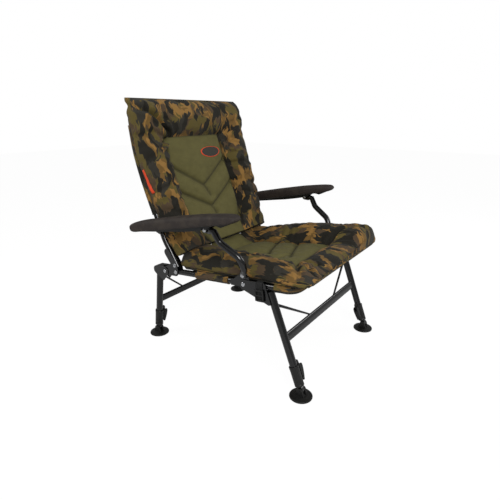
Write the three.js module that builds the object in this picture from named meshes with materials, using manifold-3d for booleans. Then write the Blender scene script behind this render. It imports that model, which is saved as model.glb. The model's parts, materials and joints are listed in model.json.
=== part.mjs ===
// A low folding fishing chair: two folding leg frames under a tubular seat, a folding back,
// armrests that stay level on swinging arm tubes, four telescopic legs on swivelling mud feet,
// and a padded mattress on slung fabric.
// Millimetres, +Z up. The sitter faces -Y and +X is the sitter's left.
import * as THREE from "three";
import { mergeVertices } from "three/addons/utils/BufferGeometryUtils.js";
import Module from "manifold-3d";

const wasm = await Module();
wasm.setup();

// Frame, as it stands open
const FRAME_X = 260;
const SEAT_HEIGHT = 324.4;
const SEAT_TILT_DEG = 6.56;
const RAIL_R = 11;
const LEG_R = 12.5;
const TUBE_WALL = 1.5;
const FIT = 0.3;
const RUNNING_FIT = 0.4;
const SHEET = 2.5;
const THIN_SHEET = 2;
const OVERRUN = 5;

// Feet, as places of their swivel pins
const FOOT_PIN_Z = 24;
const FRONT_FOOT_Y = -334;
const REAR_FOOT_Y = 333;
const FRONT_PIVOT_BEHIND = 86.265;
const REAR_PIVOT_AHEAD = 41.877;

// Pivots on the seat rails, along the rail and above it
const RAIL_REAR_Y = 216;
const RAIL_FRONT_Y = -300;
const RAIL_CORNER_R = 32;
const FRONT_PIVOT_Y = -118.4;
const REAR_PIVOT_Y = 251.2;
const BACK_PIVOT_Y = 195.8;
const BACK_PIVOT_UP = 26.1;
const ARM_PIVOT_Y = -126.6;
const ARM_PIVOT_UP = 32.9;

// Rivets
const RIVET_R = 4;
const RIVET_HEAD_R = 7.5;
const RIVET_HEAD_H = 3;
const RIVET_SIDES = 12;

const TUBE_SEGMENTS = 6;
const BEND_STEPS = 4;

const deg = THREE.MathUtils.degToRad;
const v2 = (y, z) => new THREE.Vector2(y, z);
const v3 = (x, y, z) => new THREE.Vector3(x, y, z);

// A closed mesh as a solid that can be joined and cut
function toSolid(geometry) {
  const plain = geometry.index ? geometry.toNonIndexed() : geometry;
  const bare = new THREE.BufferGeometry();
  bare.setAttribute("position", plain.getAttribute("position"));
  const merged = mergeVertices(bare, 1e-4 * RAIL_R);
  const mesh = new wasm.Mesh({
    numProp: 3,
    vertProperties: merged.attributes.position.array,
    triVerts: new Uint32Array(merged.index.array),
  });
  mesh.merge();
  return new wasm.Manifold(mesh);
}

function toGeometry(solid) {
  const mesh = solid.getMesh();
  const geometry = new THREE.BufferGeometry();
  geometry.setAttribute("position", new THREE.BufferAttribute(mesh.vertProperties, 3));
  geometry.setIndex(new THREE.BufferAttribute(mesh.triVerts, 1));
  geometry.computeVertexNormals();
  return geometry;
}

const join = (first, ...others) => others.reduce((sum, other) => sum.add(other), first);
const cut = (first, ...tools) => tools.reduce((rest, tool) => rest.subtract(tool), first);

// A block between two corners
function block(low, high) {
  const size = v3().subVectors(high, low);
  const geometry = new THREE.BoxGeometry(size.x, size.y, size.z);
  geometry.translate(low.x + size.x / 2, low.y + size.y / 2, low.z + size.z / 2);
  return toSolid(geometry);
}

// A plate that stands fore and aft: its outline is in y and z, its thickness runs from xFrom to xTo
function sidePlate(shape, xFrom, xTo, curveSegments = TUBE_SEGMENTS) {
  const options = { depth: xTo - xFrom, bevelEnabled: false, curveSegments };
  const geometry = new THREE.ExtrudeGeometry(shape, options);
  geometry.applyMatrix4(new THREE.Matrix4().makeBasis(v3(0, 1, 0), v3(0, 0, 1), v3(1, 0, 0)));
  geometry.translate(xFrom, 0, 0);
  return toSolid(geometry);
}

// A plate that stands across the chair: its outline is in x and z, its thickness is centred on y
function frontPlate(shape, thickness, curveSegments = TUBE_SEGMENTS) {
  const geometry = new THREE.ExtrudeGeometry(shape, { depth: thickness, bevelEnabled: false, curveSegments });
  geometry.rotateX(Math.PI / 2);
  geometry.translate(0, thickness / 2, 0);
  return toSolid(geometry);
}

// A round bar along x at a place in y and z
function crossBar(place, radius, xFrom, xTo, sides = RIVET_SIDES) {
  const geometry = new THREE.CylinderGeometry(radius, radius, xTo - xFrom, sides);
  geometry.rotateZ(Math.PI / 2);
  geometry.translate((xFrom + xTo) / 2, place.x, place.y);
  return toSolid(geometry);
}

// A revolved piece on the z axis, from a profile of radius and height
function revolved(profile, sides) {
  const geometry = new THREE.LatheGeometry(profile, sides);
  geometry.rotateX(Math.PI / 2);
  return toSolid(geometry);
}

// The tightest outline round some discs in y and z, which are listed anticlockwise
function roundedHull(discs, steps = 4) {
  const points = [];
  discs.forEach((disc, i) => {
    const last = discs[(i + discs.length - 1) % discs.length];
    const next = discs[(i + 1) % discs.length];
    const from = outerAngle(last, disc);
    let to = outerAngle(disc, next);
    while (to < from) to += 2 * Math.PI;
    for (let k = 0; k <= steps; k++) {
      const angle = from + ((to - from) * k) / steps;
      points.push(v2(disc.y + disc.r * Math.cos(angle), disc.z + disc.r * Math.sin(angle)));
    }
  });
  return new THREE.Shape(points);
}

// Where the outer line from one disc to the next touches both, as an angle round them
function outerAngle(from, to) {
  const along = v2(to.y - from.y, to.z - from.z);
  return Math.atan2(along.y, along.x) - Math.acos((from.r - to.r) / along.length());
}

const disc = (y, z, r) => ({ y, z, r });
const discAt = (place, r) => disc(place.x, place.y, r);

// A path that a tube follows ring by ring: straight runs take one step and bends take several
class RingPath extends THREE.Curve {
  constructor(rings) {
    super();
    this.rings = rings;
  }
  getPointAt(share) {
    return this.rings[Math.round(share * (this.rings.length - 1))].clone();
  }
  getTangentAt(share) {
    const i = Math.round(share * (this.rings.length - 1));
    const before = this.rings[Math.max(i - 1, 0)];
    const after = this.rings[Math.min(i + 1, this.rings.length - 1)];
    const here = this.rings[i];
    const into = v3().subVectors(here, before).normalize();
    const out = v3().subVectors(after, here).normalize();
    return into.add(out).normalize();
  }
}

// A line through corners, with each inner corner rounded to a radius
function bentLine(corners, radius, steps = BEND_STEPS) {
  const rings = [corners[0].clone()];
  for (let i = 1; i < corners.length - 1; i++) {
    const into = v3().subVectors(corners[i - 1], corners[i]);
    const out = v3().subVectors(corners[i + 1], corners[i]);
    const half = into.angleTo(out) / 2;
    const reach = radius / Math.tan(half);
    into.normalize();
    out.normalize();
    const centre = into.clone().add(out).normalize().multiplyScalar(radius / Math.sin(half)).add(corners[i]);
    const start = into.clone().multiplyScalar(reach).add(corners[i]).sub(centre);
    const end = out.clone().multiplyScalar(reach).add(corners[i]).sub(centre);
    const axis = v3().crossVectors(start, end).normalize();
    const sweep = start.angleTo(end);
    for (let k = 0; k <= steps; k++) {
      rings.push(start.clone().applyAxisAngle(axis, (sweep * k) / steps).add(centre));
    }
  }
  rings.push(corners[corners.length - 1].clone());
  return rings;
}

// A round tube along rings; without a bore it is solid
function tube(rings, outer, bore = 0, segments = TUBE_SEGMENTS) {
  const section = new THREE.Shape();
  section.absarc(0, 0, outer, 0, 2 * Math.PI, false);
  if (bore > 0) {
    const hole = new THREE.Path();
    hole.absarc(0, 0, bore, 0, 2 * Math.PI, true);
    section.holes.push(hole);
  }
  const options = {
    steps: rings.length - 1,
    extrudePath: new RingPath(rings),
    curveSegments: segments,
    bevelEnabled: false,
  };
  return toSolid(new THREE.ExtrudeGeometry(section, options));
}

// A closed skin over rings of points, with a flat end on the first and the last ring
function loft(rings) {
  const count = rings[0].length;
  const points = rings.flat();
  const ends = [rings[0], rings[rings.length - 1]].map((ring) =>
    ring.reduce((sum, point) => sum.add(point), v3(0, 0, 0)).divideScalar(count),
  );
  const first = points.length;
  points.push(...ends);
  const index = [];
  for (let i = 0; i < rings.length - 1; i++) {
    for (let k = 0; k < count; k++) {
      const next = (k + 1) % count;
      const a = i * count + k;
      const b = i * count + next;
      index.push(a, b, b + count, a, b + count, a + count);
    }
  }
  const lastRing = (rings.length - 1) * count;
  for (let k = 0; k < count; k++) {
    const next = (k + 1) % count;
    index.push(first, next, k);
    index.push(first + 1, lastRing + k, lastRing + next);
  }
  const geometry = new THREE.BufferGeometry().setFromPoints(points);
  geometry.setIndex(index);
  return toSolid(geometry);
}

// Finishes
const finish = (color, roughness, metalness = 0) =>
  new THREE.MeshStandardMaterial({ color, roughness, metalness });
const BLACK_PAINT = finish(0x17181a, 0.38, 0.3);
const ZINC = finish(0xc9ccd0, 0.25, 0.9);
const DARK_PLASTIC = finish(0x232424, 0.55);
const ARM_FOAM = finish(0x3b342d, 0.8);
const CAMO_CLOTH = finish(0x4c4027, 0.9);
const SLING_CLOTH = finish(0x2b2c22, 0.95);
const WEBBING = finish(0x1b1c1a, 0.9);
const PATCH_CLOTH = finish(0x3a3d3b, 0.9);
const TAB_CLOTH = finish(0xd9481c, 0.85);

const chair = new THREE.Group();
const seat = new THREE.Group();
seat.position.z = SEAT_HEIGHT;
seat.rotation.x = -deg(SEAT_TILT_DEG);
chair.add(seat);

// Both sides of one piece, made for the sitter's left and mirrored for the right
const sides = new Map();
function sidesOf(parent) {
  if (!sides.has(parent)) {
    const left = new THREE.Group();
    const right = new THREE.Group();
    right.scale.x = -1;
    parent.add(left, right);
    sides.set(parent, { left, right });
  }
  return sides.get(parent);
}

function put(name, solid, material, parent) {
  const mesh = new THREE.Mesh(toGeometry(solid), material);
  mesh.name = name;
  parent.add(mesh);
}

function putPair(name, solid, material, parent) {
  const geometry = toGeometry(solid);
  for (const [side, group] of Object.entries(sidesOf(parent))) {
    const mesh = new THREE.Mesh(geometry, material);
    mesh.name = name + "_" + side;
    group.add(mesh);
  }
}

// A place on the seat frame, along and above the rail, as a place on the chair in y and z
function fromSeat(along, up) {
  const place = v3(0, along, up).applyEuler(new THREE.Euler(-deg(SEAT_TILT_DEG), 0, 0));
  return v2(place.y, place.z + SEAT_HEIGHT);
}

const frontPivot = fromSeat(FRONT_PIVOT_Y, 0);
const rearPivot = fromSeat(REAR_PIVOT_Y, 0);
const backPivot = fromSeat(BACK_PIVOT_Y, BACK_PIVOT_UP);
const armPivot = fromSeat(ARM_PIVOT_Y, ARM_PIVOT_UP);

// Layers of sheet outward from the middle of a rail: plates on the rail, then plates on the legs
const PLATE_IN = RAIL_R + FIT;
const PLATE_OUT = PLATE_IN + THIN_SHEET;
const CHEEK_IN = PLATE_OUT + FIT;
const CHEEK_OUT = CHEEK_IN + SHEET;

// A rivet along x through a place, gripping from xFrom to xTo between two domed heads
function rivet(place, xFrom, xTo) {
  const grip = xTo - xFrom;
  const crownShare = 0.6;
  const profile = [
    v2(0, -RIVET_HEAD_H),
    v2(RIVET_HEAD_R * crownShare, -RIVET_HEAD_H * crownShare - RIVET_HEAD_H / 5),
    v2(RIVET_HEAD_R, 0),
    v2(RIVET_R, 0),
    v2(RIVET_R, grip),
    v2(RIVET_HEAD_R, grip),
    v2(RIVET_HEAD_R * crownShare, grip + RIVET_HEAD_H * crownShare + RIVET_HEAD_H / 5),
    v2(0, grip + RIVET_HEAD_H),
  ];
  const geometry = new THREE.LatheGeometry(profile, RIVET_SIDES);
  geometry.rotateZ(-Math.PI / 2);
  geometry.translate(xFrom, place.x, place.y);
  return toSolid(geometry);
}

const rivetHole = (place, xFrom, xTo) =>
  crossBar(place, RIVET_R + FIT, xFrom - OVERRUN, xTo + OVERRUN);

// Rivet through a clevis on the frame line
const clevisHole = (place) => rivetHole(place, FRAME_X - CHEEK_OUT, FRAME_X + CHEEK_OUT);
const clevisRivet = (place, half) => rivet(place, FRAME_X - half - FIT, FRAME_X + half + FIT);

// A folded sheet clevis round the frame line: an outline less the room inside it
function clevis(outline, room, inner, outer) {
  const whole = sidePlate(outline, FRAME_X - outer, FRAME_X + outer);
  return cut(whole, sidePlate(room, FRAME_X - inner, FRAME_X + inner));
}

// Seat frame: one tube bent to a U, open at its rear ends
const railLine = [
  v3(-FRAME_X, RAIL_REAR_Y, 0),
  v3(-FRAME_X, RAIL_FRONT_Y, 0),
  v3(FRAME_X, RAIL_FRONT_Y, 0),
  v3(FRAME_X, RAIL_REAR_Y, 0),
];
const railRings = bentLine(railLine, RAIL_CORNER_R);
const railHoles = [FRONT_PIVOT_Y, BACK_PIVOT_Y].flatMap((y) =>
  [-FRAME_X, FRAME_X].map((x) => crossBar(v2(y, 0), RIVET_R + FIT, x - 2 * RAIL_R, x + 2 * RAIL_R)),
);
put("seat_frame", cut(tube(railRings, RAIL_R, RAIL_R - TUBE_WALL), ...railHoles), BLACK_PAINT, seat);

// Rear hinge plates: lobed cheeks on each rail end, with a web behind the back tube that stops it
const HINGE_EYE_R = 14;
const HINGE_STOP_LOW = 24;
const HINGE_STOP_TOP = 56;
const BACK_FOOT_LEAN_DEG = 31.5;
const backFootDir = v2(Math.sin(deg(BACK_FOOT_LEAN_DEG)), Math.cos(deg(BACK_FOOT_LEAN_DEG)));

// A place beside the foot of the back tube, up it from the pivot and out behind it
function besideBackFoot(up, behind) {
  return v2(
    BACK_PIVOT_Y + up * backFootDir.x + behind * backFootDir.y,
    BACK_PIVOT_UP + up * backFootDir.y - behind * backFootDir.x,
  );
}

function hingePlate() {
  const lobes = {
    front: disc(BACK_PIVOT_Y, 0, HINGE_EYE_R),
    leg: disc(REAR_PIVOT_Y, 0, HINGE_EYE_R),
    back: disc(BACK_PIVOT_Y, BACK_PIVOT_UP, HINGE_EYE_R),
    stop: discAt(besideBackFoot(HINGE_STOP_TOP, 0), HINGE_EYE_R),
  };
  const links = [
    [lobes.front, lobes.leg],
    [lobes.front, lobes.back],
    [lobes.back, lobes.leg],
    [lobes.back, lobes.stop],
  ];
  const plates = links.map((link) =>
    sidePlate(roundedHull(link, 5), FRAME_X - PLATE_OUT, FRAME_X + PLATE_OUT),
  );
  const stopFace = RAIL_R + RUNNING_FIT;
  const room = new THREE.Shape([
    besideBackFoot(-REAR_PIVOT_Y, -REAR_PIVOT_Y),
    besideBackFoot(REAR_PIVOT_Y, -REAR_PIVOT_Y),
    besideBackFoot(REAR_PIVOT_Y, stopFace),
    besideBackFoot(HINGE_STOP_LOW, stopFace),
    besideBackFoot(HINGE_STOP_LOW, REAR_PIVOT_Y),
    besideBackFoot(-REAR_PIVOT_Y, REAR_PIVOT_Y),
  ]);
  const holes = [v2(REAR_PIVOT_Y, 0), v2(BACK_PIVOT_Y, BACK_PIVOT_UP)];
  const plate = cut(
    join(...plates),
    sidePlate(room, FRAME_X - PLATE_IN, FRAME_X + PLATE_IN),
    ...holes.map(clevisHole),
  );
  return join(plate, rivet(v2(BACK_PIVOT_Y, 0), FRAME_X - PLATE_OUT, FRAME_X + PLATE_OUT));
}
putPair("rear_hinge_plate", hingePlate(), BLACK_PAINT, seat);

// Arm brackets: a saddle over the rail with an ear outside for the foot of the arm tube
const SADDLE_REAR_Y = -66;
const SADDLE_FRONT_Y = -148;
const SADDLE_DEPTH = 9;
const EAR_R = 11;
const EAR_FOOT_R = 3;

function armBracket() {
  const saddle = block(
    v3(FRAME_X - PLATE_OUT, SADDLE_FRONT_Y, -SADDLE_DEPTH),
    v3(FRAME_X + PLATE_OUT, SADDLE_REAR_Y, PLATE_OUT),
  );
  const ear = roundedHull([
    disc(ARM_PIVOT_Y, ARM_PIVOT_UP, EAR_R),
    disc(SADDLE_FRONT_Y + EAR_FOOT_R, PLATE_OUT / 2, EAR_FOOT_R),
    disc(SADDLE_REAR_Y - SADDLE_DEPTH, PLATE_OUT / 2, EAR_FOOT_R),
  ]);
  const room = block(
    v3(FRAME_X - PLATE_IN, SADDLE_FRONT_Y - OVERRUN, -2 * SADDLE_DEPTH),
    v3(FRAME_X + PLATE_IN, SADDLE_REAR_Y + OVERRUN, PLATE_IN),
  );
  const folded = join(cut(saddle, room), sidePlate(ear, FRAME_X + PLATE_IN, FRAME_X + PLATE_OUT));
  return cut(folded, clevisHole(v2(FRONT_PIVOT_Y, 0)), clevisHole(v2(ARM_PIVOT_Y, ARM_PIVOT_UP)));
}
putPair("arm_bracket", armBracket(), BLACK_PAINT, seat);

// Seat sling: cloth that sags between the rails, with sleeves round them and round the front tube
const CLOTH = 2;
const SLEEVE_WALL = 1.9;
const SLING_SAG = 12;
const SLING_TAUT = 85;
const SLING_REAR_Y = 150;
const SLEEVE_OVERLAP = 1.2;
const SLING_INSET = RAIL_R + SLEEVE_OVERLAP;
const SLING_EDGE_X = FRAME_X - SLING_INSET;
const SLING_CORNER = 20;
const SLING_FLAT = 5;
const REAR_SLEEVE_Y = [-50, 95];
const FRONT_SLEEVE_Y = [-262, -233];
const FRONT_SLEEVE_X = 214;
const SLING_STEPS = 8;
const SLING_FRONT_Y = RAIL_FRONT_Y + SLING_INSET;
const SLING_NOTCH = 22;
const sleeveR = RAIL_R + FIT + SLEEVE_WALL;

// Height of the sling's middle surface: it sags between the rails and is flat along its seams
function slingZ(x, y) {
  const slack = Math.min(Math.max((y - SLING_FRONT_Y - SLING_FLAT) / SLING_TAUT, 0), 1);
  const share = Math.min(Math.abs(x) / (SLING_EDGE_X - SLING_FLAT), 1);
  return -SLING_SAG * slack * (1 - share ** 2);
}

function seatSling() {
  const tautFrom = SLING_FRONT_Y + SLING_FLAT;
  const tautStations = [0, 0.2, 0.45, 0.7, 1].map((share) => tautFrom + SLING_TAUT * share);
  const steps = [...Array(SLING_STEPS + 1).keys()].map((i) => (2 * i) / SLING_STEPS - 1);
  const rings = [SLING_FRONT_Y, ...tautStations, SLING_REAR_Y].map((y) => {
    const chamfer = Math.max(SLING_FRONT_Y + SLING_CORNER - y, 0);
    const edge = SLING_EDGE_X - chamfer;
    const across = [-edge, ...steps.map((step) => (edge - SLING_FLAT) * step), edge];
    return [
      ...across.map((x) => v3(x, y, slingZ(x, y) + CLOTH / 2)),
      ...across.toReversed().map((x) => v3(x, y, slingZ(x, y) - CLOTH / 2)),
    ];
  });
  const inner = v3(FRAME_X - SLING_NOTCH, FRONT_SLEEVE_Y[1] + CLOTH, -SLING_SAG);
  const outer = v3(FRAME_X, REAR_SLEEVE_Y[0] - CLOTH, SLING_SAG);
  const notches = [
    block(inner, outer),
    block(v3(-outer.x, inner.y, inner.z), v3(-inner.x, outer.y, outer.z)),
  ];
  const sleeveLines = [-FRAME_X, FRAME_X].flatMap((x) =>
    [REAR_SLEEVE_Y, FRONT_SLEEVE_Y].map(([from, to]) => [v3(x, from, 0), v3(x, to, 0)]),
  );
  sleeveLines.push([v3(-FRONT_SLEEVE_X, RAIL_FRONT_Y, 0), v3(FRONT_SLEEVE_X, RAIL_FRONT_Y, 0)]);
  const sleeves = sleeveLines.map((line) => tube(line, sleeveR, RAIL_R + FIT));
  return join(cut(loft(rings), ...notches), ...sleeves);
}
put("seat_sling", seatSling(), SLING_CLOTH, seat);

// Leg frames: each stands on the line of its foot pins and leans
function legFrame(footY, lean) {
  const frame = new THREE.Group();
  frame.position.set(0, footY, FOOT_PIN_Z);
  frame.rotation.x = -lean;
  chair.add(frame);
  return frame;
}

// How far a leg leans back, so that its pivot on the rail lies so far behind the leg line
function legLean(pivot, footY, behind) {
  const reach = v2(pivot.x - footY, pivot.y - FOOT_PIN_Z);
  return Math.atan2(reach.x, reach.y) - Math.asin(behind / reach.length());
}

// A place on the chair, as a place in a leg frame: behind the leg line and up it from the foot pin
function onLeg(place, footY, lean) {
  const rel = v3(0, place.x - footY, place.y - FOOT_PIN_Z);
  rel.applyEuler(new THREE.Euler(lean, 0, 0));
  return v2(rel.y, rel.z);
}
const frontLean = legLean(frontPivot, FRONT_FOOT_Y, FRONT_PIVOT_BEHIND);
const rearLean = legLean(rearPivot, REAR_FOOT_Y, -REAR_PIVOT_AHEAD);
const frontLegs = legFrame(FRONT_FOOT_Y, frontLean);
const rearLegs = legFrame(REAR_FOOT_Y, rearLean);
const frontLegPivot = onLeg(frontPivot, FRONT_FOOT_Y, frontLean);
const rearLegPivot = onLeg(rearPivot, REAR_FOOT_Y, rearLean);

// A round bar that stands on the leg line
function post(radius, low, high, sides = 2 * TUBE_SEGMENTS) {
  const geometry = new THREE.CylinderGeometry(radius, radius, high - low, sides);
  geometry.rotateX(Math.PI / 2);
  geometry.translate(FRAME_X, 0, (low + high) / 2);
  return toSolid(geometry);
}

// Leg ends: clamp, cam lever, inner leg and mud foot, alike on all four legs
const FORK_EYE_R = 11;
const CLAMP_LOW = 16;
const CLAMP_H = 68;
const LEG_LOW = 40;
const CLAMP_WALL = 3;
const INNER_LEG_R = 10;
const LEG_CAP = 3;

// Where the underside of the rail crosses a leg frame, at a place behind the leg line
const railTurn = frontLean - deg(SEAT_TILT_DEG);
const underRail = (behind) =>
  frontLegPivot.y - (frontLegPivot.x - behind) * Math.tan(railTurn) - (RAIL_R + RUNNING_FIT) / Math.cos(railTurn);
const REAR_LEG_OVER = 1.9;
const frontLegTop = underRail(-LEG_R);
const rearLegTop = rearLegPivot.y + REAR_LEG_OVER;

function legTube(top) {
  const outer = post(LEG_R, LEG_LOW, top);
  return cut(outer, post(LEG_R - TUBE_WALL, LEG_LOW - OVERRUN, top - LEG_CAP));
}
putPair("front_leg_tube", legTube(frontLegTop), BLACK_PAINT, frontLegs);
putPair("rear_leg_tube", legTube(rearLegTop), BLACK_PAINT, rearLegs);

// Front gussets: folded cheeks that reach back from the leg to its pivot on the rail
const GUSSET_EYE_R = 17;
const GUSSET_DROP = 78.4;
const GUSSET_TOP_R = 4;
const GUSSET_RISE = 27;
const GUSSET_LOW_R = 3;
const WEB_IN = LEG_R + FIT;
const WEB_OUT = WEB_IN + SHEET;
const gussetLow = frontLegPivot.y - GUSSET_DROP;

function frontGusset() {
  const outline = roundedHull([
    discAt(frontLegPivot, GUSSET_EYE_R),
    disc(GUSSET_TOP_R - WEB_OUT, underRail(-WEB_OUT) + GUSSET_RISE - GUSSET_TOP_R, GUSSET_TOP_R),
    disc(GUSSET_LOW_R - WEB_OUT, gussetLow + GUSSET_LOW_R, GUSSET_LOW_R),
    disc(LEG_R - GUSSET_LOW_R, gussetLow + GUSSET_LOW_R, GUSSET_LOW_R),
  ]);
  const reach = frontLegPivot.x + GUSSET_EYE_R + OVERRUN;
  const webTop = underRail(-WEB_OUT);
  const above = frontLegPivot.y + reach;
  const room = new THREE.Shape([
    v2(-WEB_IN, gussetLow - OVERRUN),
    v2(reach, gussetLow - OVERRUN),
    v2(reach, above),
    v2(-reach, above),
    v2(-reach, webTop),
    v2(-WEB_IN, webTop),
  ]);
  return cut(clevis(outline, room, CHEEK_IN, CHEEK_OUT), clevisHole(frontLegPivot));
}
putPair("front_gusset", frontGusset(), BLACK_PAINT, frontLegs);

// Rear leg brackets: folded cheeks round the top of the leg, reaching forward to the pivot
const BRACKET_EYE_R = 18;
const BRACKET_CAP_BEHIND = 2;
const BRACKET_CAP_DROP = 11.1;
const BRACKET_CAP_R = 17;
const BRACKET_TOE_AHEAD = 36;
const BRACKET_TOE_DROP = 36.1;
const BRACKET_TOE_R = 5;

function rearLegBracket() {
  const cap = disc(BRACKET_CAP_BEHIND, rearLegPivot.y - BRACKET_CAP_DROP, BRACKET_CAP_R);
  const toe = disc(-BRACKET_TOE_AHEAD, rearLegPivot.y - BRACKET_TOE_DROP, BRACKET_TOE_R);
  const outline = roundedHull([cap, discAt(rearLegPivot, BRACKET_EYE_R), toe]);
  const reach = 2 * BRACKET_EYE_R - rearLegPivot.x;
  const room = new THREE.Shape([
    v2(-reach, toe.z - reach),
    v2(WEB_IN, toe.z - reach),
    v2(WEB_IN, cap.z + reach),
    v2(-reach, cap.z + reach),
  ]);
  return cut(clevis(outline, room, CHEEK_IN, CHEEK_OUT), clevisHole(rearLegPivot));
}
putPair("rear_leg_bracket", rearLegBracket(), BLACK_PAINT, rearLegs);

// Cross bars: a flat oval tube between the legs, with a brace up to each leg
const BAR_H = 30;
const BAR_THICK = 10;
const BRACE_W = 10;
const BRACE_THICK = 5;
const FRONT_BAR_UP = 175;
const REAR_BAR_UP = 133.5;
const FRONT_BRACE_X = 101;
const REAR_BRACE_X = 145;
const FRONT_BRACE_DROP = 83.4;
const REAR_BRACE_DROP = 38.1;

function ovalPath(up, height, thickness, Path) {
  const path = new Path();
  const straight = (height - thickness) / 2;
  path.absarc(0, up + straight, thickness / 2, 0, Math.PI, false);
  path.absarc(0, up - straight, thickness / 2, Math.PI, 2 * Math.PI, false);
  path.closePath();
  return path;
}

function crossBarFrame(up, braceX, braceTop) {
  const legFace = FRAME_X - LEG_R - FIT;
  const section = ovalPath(up, BAR_H, BAR_THICK, THREE.Shape);
  section.holes.push(ovalPath(up, BAR_H - 2 * TUBE_WALL, BAR_THICK - 2 * TUBE_WALL, THREE.Path));
  const foot = up + BAR_H / 2 - TUBE_WALL / 2;
  const braces = [-1, 1].map((side) => {
    const strip = new THREE.Shape([
      v2(side * braceX, foot),
      v2(side * (braceX - BRACE_W), foot),
      v2(side * legFace, braceTop),
      v2(side * legFace, braceTop - BRACE_W),
    ]);
    return frontPlate(strip, BRACE_THICK);
  });
  return join(sidePlate(section, -legFace, legFace, 4), ...braces);
}
const frontBars = crossBarFrame(FRONT_BAR_UP, FRONT_BRACE_X, frontLegPivot.y - FRONT_BRACE_DROP);
const rearBars = crossBarFrame(REAR_BAR_UP, REAR_BRACE_X, rearLegPivot.y - REAR_BRACE_DROP);
put("front_cross_bar", frontBars, BLACK_PAINT, frontLegs);
put("rear_cross_bar", rearBars, BLACK_PAINT, rearLegs);

// Leg clamps: a split collar under each leg tube, with a lug for the cam lever
const CLAMP_R = LEG_R + CLAMP_WALL;
const CLAMP_TOP = CLAMP_LOW + CLAMP_H;
const LUG_HALF = 4;
const LEVER_HALF = 9;
const LEVER_PIN_R = 2.5;
const LEVER_PIN_OUT = 5;
const LEVER_PIN_DROP = 7;
const LEVER_PIN = v2(FRAME_X - CLAMP_R - LEVER_PIN_OUT, CLAMP_TOP - LEVER_PIN_DROP);
const LEVER_CAM_R = 4.6;
const LEVER_TIP_OUT = 6;
const LEVER_TIP_UP = 10;
const LEVER_TIP = v2(FRAME_X - CLAMP_R - LEVER_TIP_OUT, CLAMP_LOW + LEVER_TIP_UP);
const LEVER_WAIST_SHARE = 0.55;
const LEVER_TIP_R = 3;
const LEVER_WAIST_R = 2;

// A pin fore and aft at a place in x and z
function leverPin(radius, half) {
  const geometry = new THREE.CylinderGeometry(radius, radius, 2 * half, RIVET_SIDES);
  geometry.translate(LEVER_PIN.x, 0, LEVER_PIN.y);
  return toSolid(geometry);
}

function legClamp() {
  const lug = frontPlate(
    roundedHull([discAt(LEVER_PIN, LEVER_CAM_R - FIT), disc(FRAME_X - LEG_R, LEVER_PIN.y, LEVER_CAM_R - FIT)]),
    2 * LUG_HALF,
  );
  const collar = join(post(CLAMP_R, CLAMP_LOW, CLAMP_TOP), lug, leverPin(LEVER_PIN_R, LEVER_HALF));
  const legBore = post(LEG_R + FIT, LEG_LOW, CLAMP_TOP + OVERRUN);
  return cut(collar, legBore, post(INNER_LEG_R + FIT, CLAMP_LOW - OVERRUN, LEG_LOW + OVERRUN));
}

function clampLever() {
  const waist = discAt(LEVER_PIN.clone().lerp(LEVER_TIP, LEVER_WAIST_SHARE).sub(v2(LEVER_WAIST_R, 0)), LEVER_WAIST_R);
  const tip = discAt(LEVER_TIP.clone().sub(v2(LEVER_TIP_R, 0)), LEVER_TIP_R);
  const paddle = join(
    frontPlate(roundedHull([waist, discAt(LEVER_PIN, LEVER_CAM_R)]), 2 * LEVER_HALF),
    frontPlate(roundedHull([tip, waist]), 2 * LEVER_HALF),
  );
  const slot = block(
    v3(LEVER_PIN.x - 2 * LEVER_CAM_R, -LUG_HALF - RUNNING_FIT, LEVER_PIN.y - LEVER_CAM_R - 2 * RUNNING_FIT),
    v3(LEVER_PIN.x + 2 * LEVER_CAM_R, LUG_HALF + RUNNING_FIT, LEVER_PIN.y + 2 * LEVER_CAM_R),
  );
  return cut(paddle, slot, leverPin(LEVER_PIN_R + FIT, LEVER_HALF + OVERRUN));
}

// Inner legs: a tube with a flat tongue below it for the foot pin
const TONGUE_R = 10;
const TONGUE_HALF = 6;
const TONGUE_TOP = 15;
const INNER_LEG_LOW = 13;
const INNER_LEG_PLUG = 4;
const FOOT_PIN_R = 3.7;
const FRONT_INNER_ROOM = 83.2;
const REAR_INNER_ROOM = 68;

function innerLeg(top) {
  const tongue = roundedHull([disc(0, 0, TONGUE_R), disc(0, TONGUE_TOP - TONGUE_R, TONGUE_R)], 8);
  const shell = cut(
    post(INNER_LEG_R, INNER_LEG_LOW, top),
    post(INNER_LEG_R - TUBE_WALL, INNER_LEG_LOW + INNER_LEG_PLUG, top + OVERRUN),
  );
  const plate = sidePlate(tongue, FRAME_X - TONGUE_HALF, FRAME_X + TONGUE_HALF);
  const hole = crossBar(v2(0, 0), FOOT_PIN_R + 2 * FIT, FRAME_X - INNER_LEG_R, FRAME_X + INNER_LEG_R);
  return cut(join(shell, plate), hole);
}

// Mud feet: a dished disc with a swivel fork, standing flat on the ground
const DISC_R = 37.5;
const FORK_IN = 6.5;
const FORK_OUT = 12.5;
const FORK_FOOT_HALF = 13;
const FORK_FOOT_UP = 6;
const FORK_FOOT_R = 3;
const FOOT_PIN_PROUD = 1;
const DISC_H = 8.5;
const discShares = [
  [0, 0],
  [1, 0],
  [1, 0.353],
  [0.947, 0.588],
  [0.72, 0.765],
  [0.45, 1],
  [0, 1],
];

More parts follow.
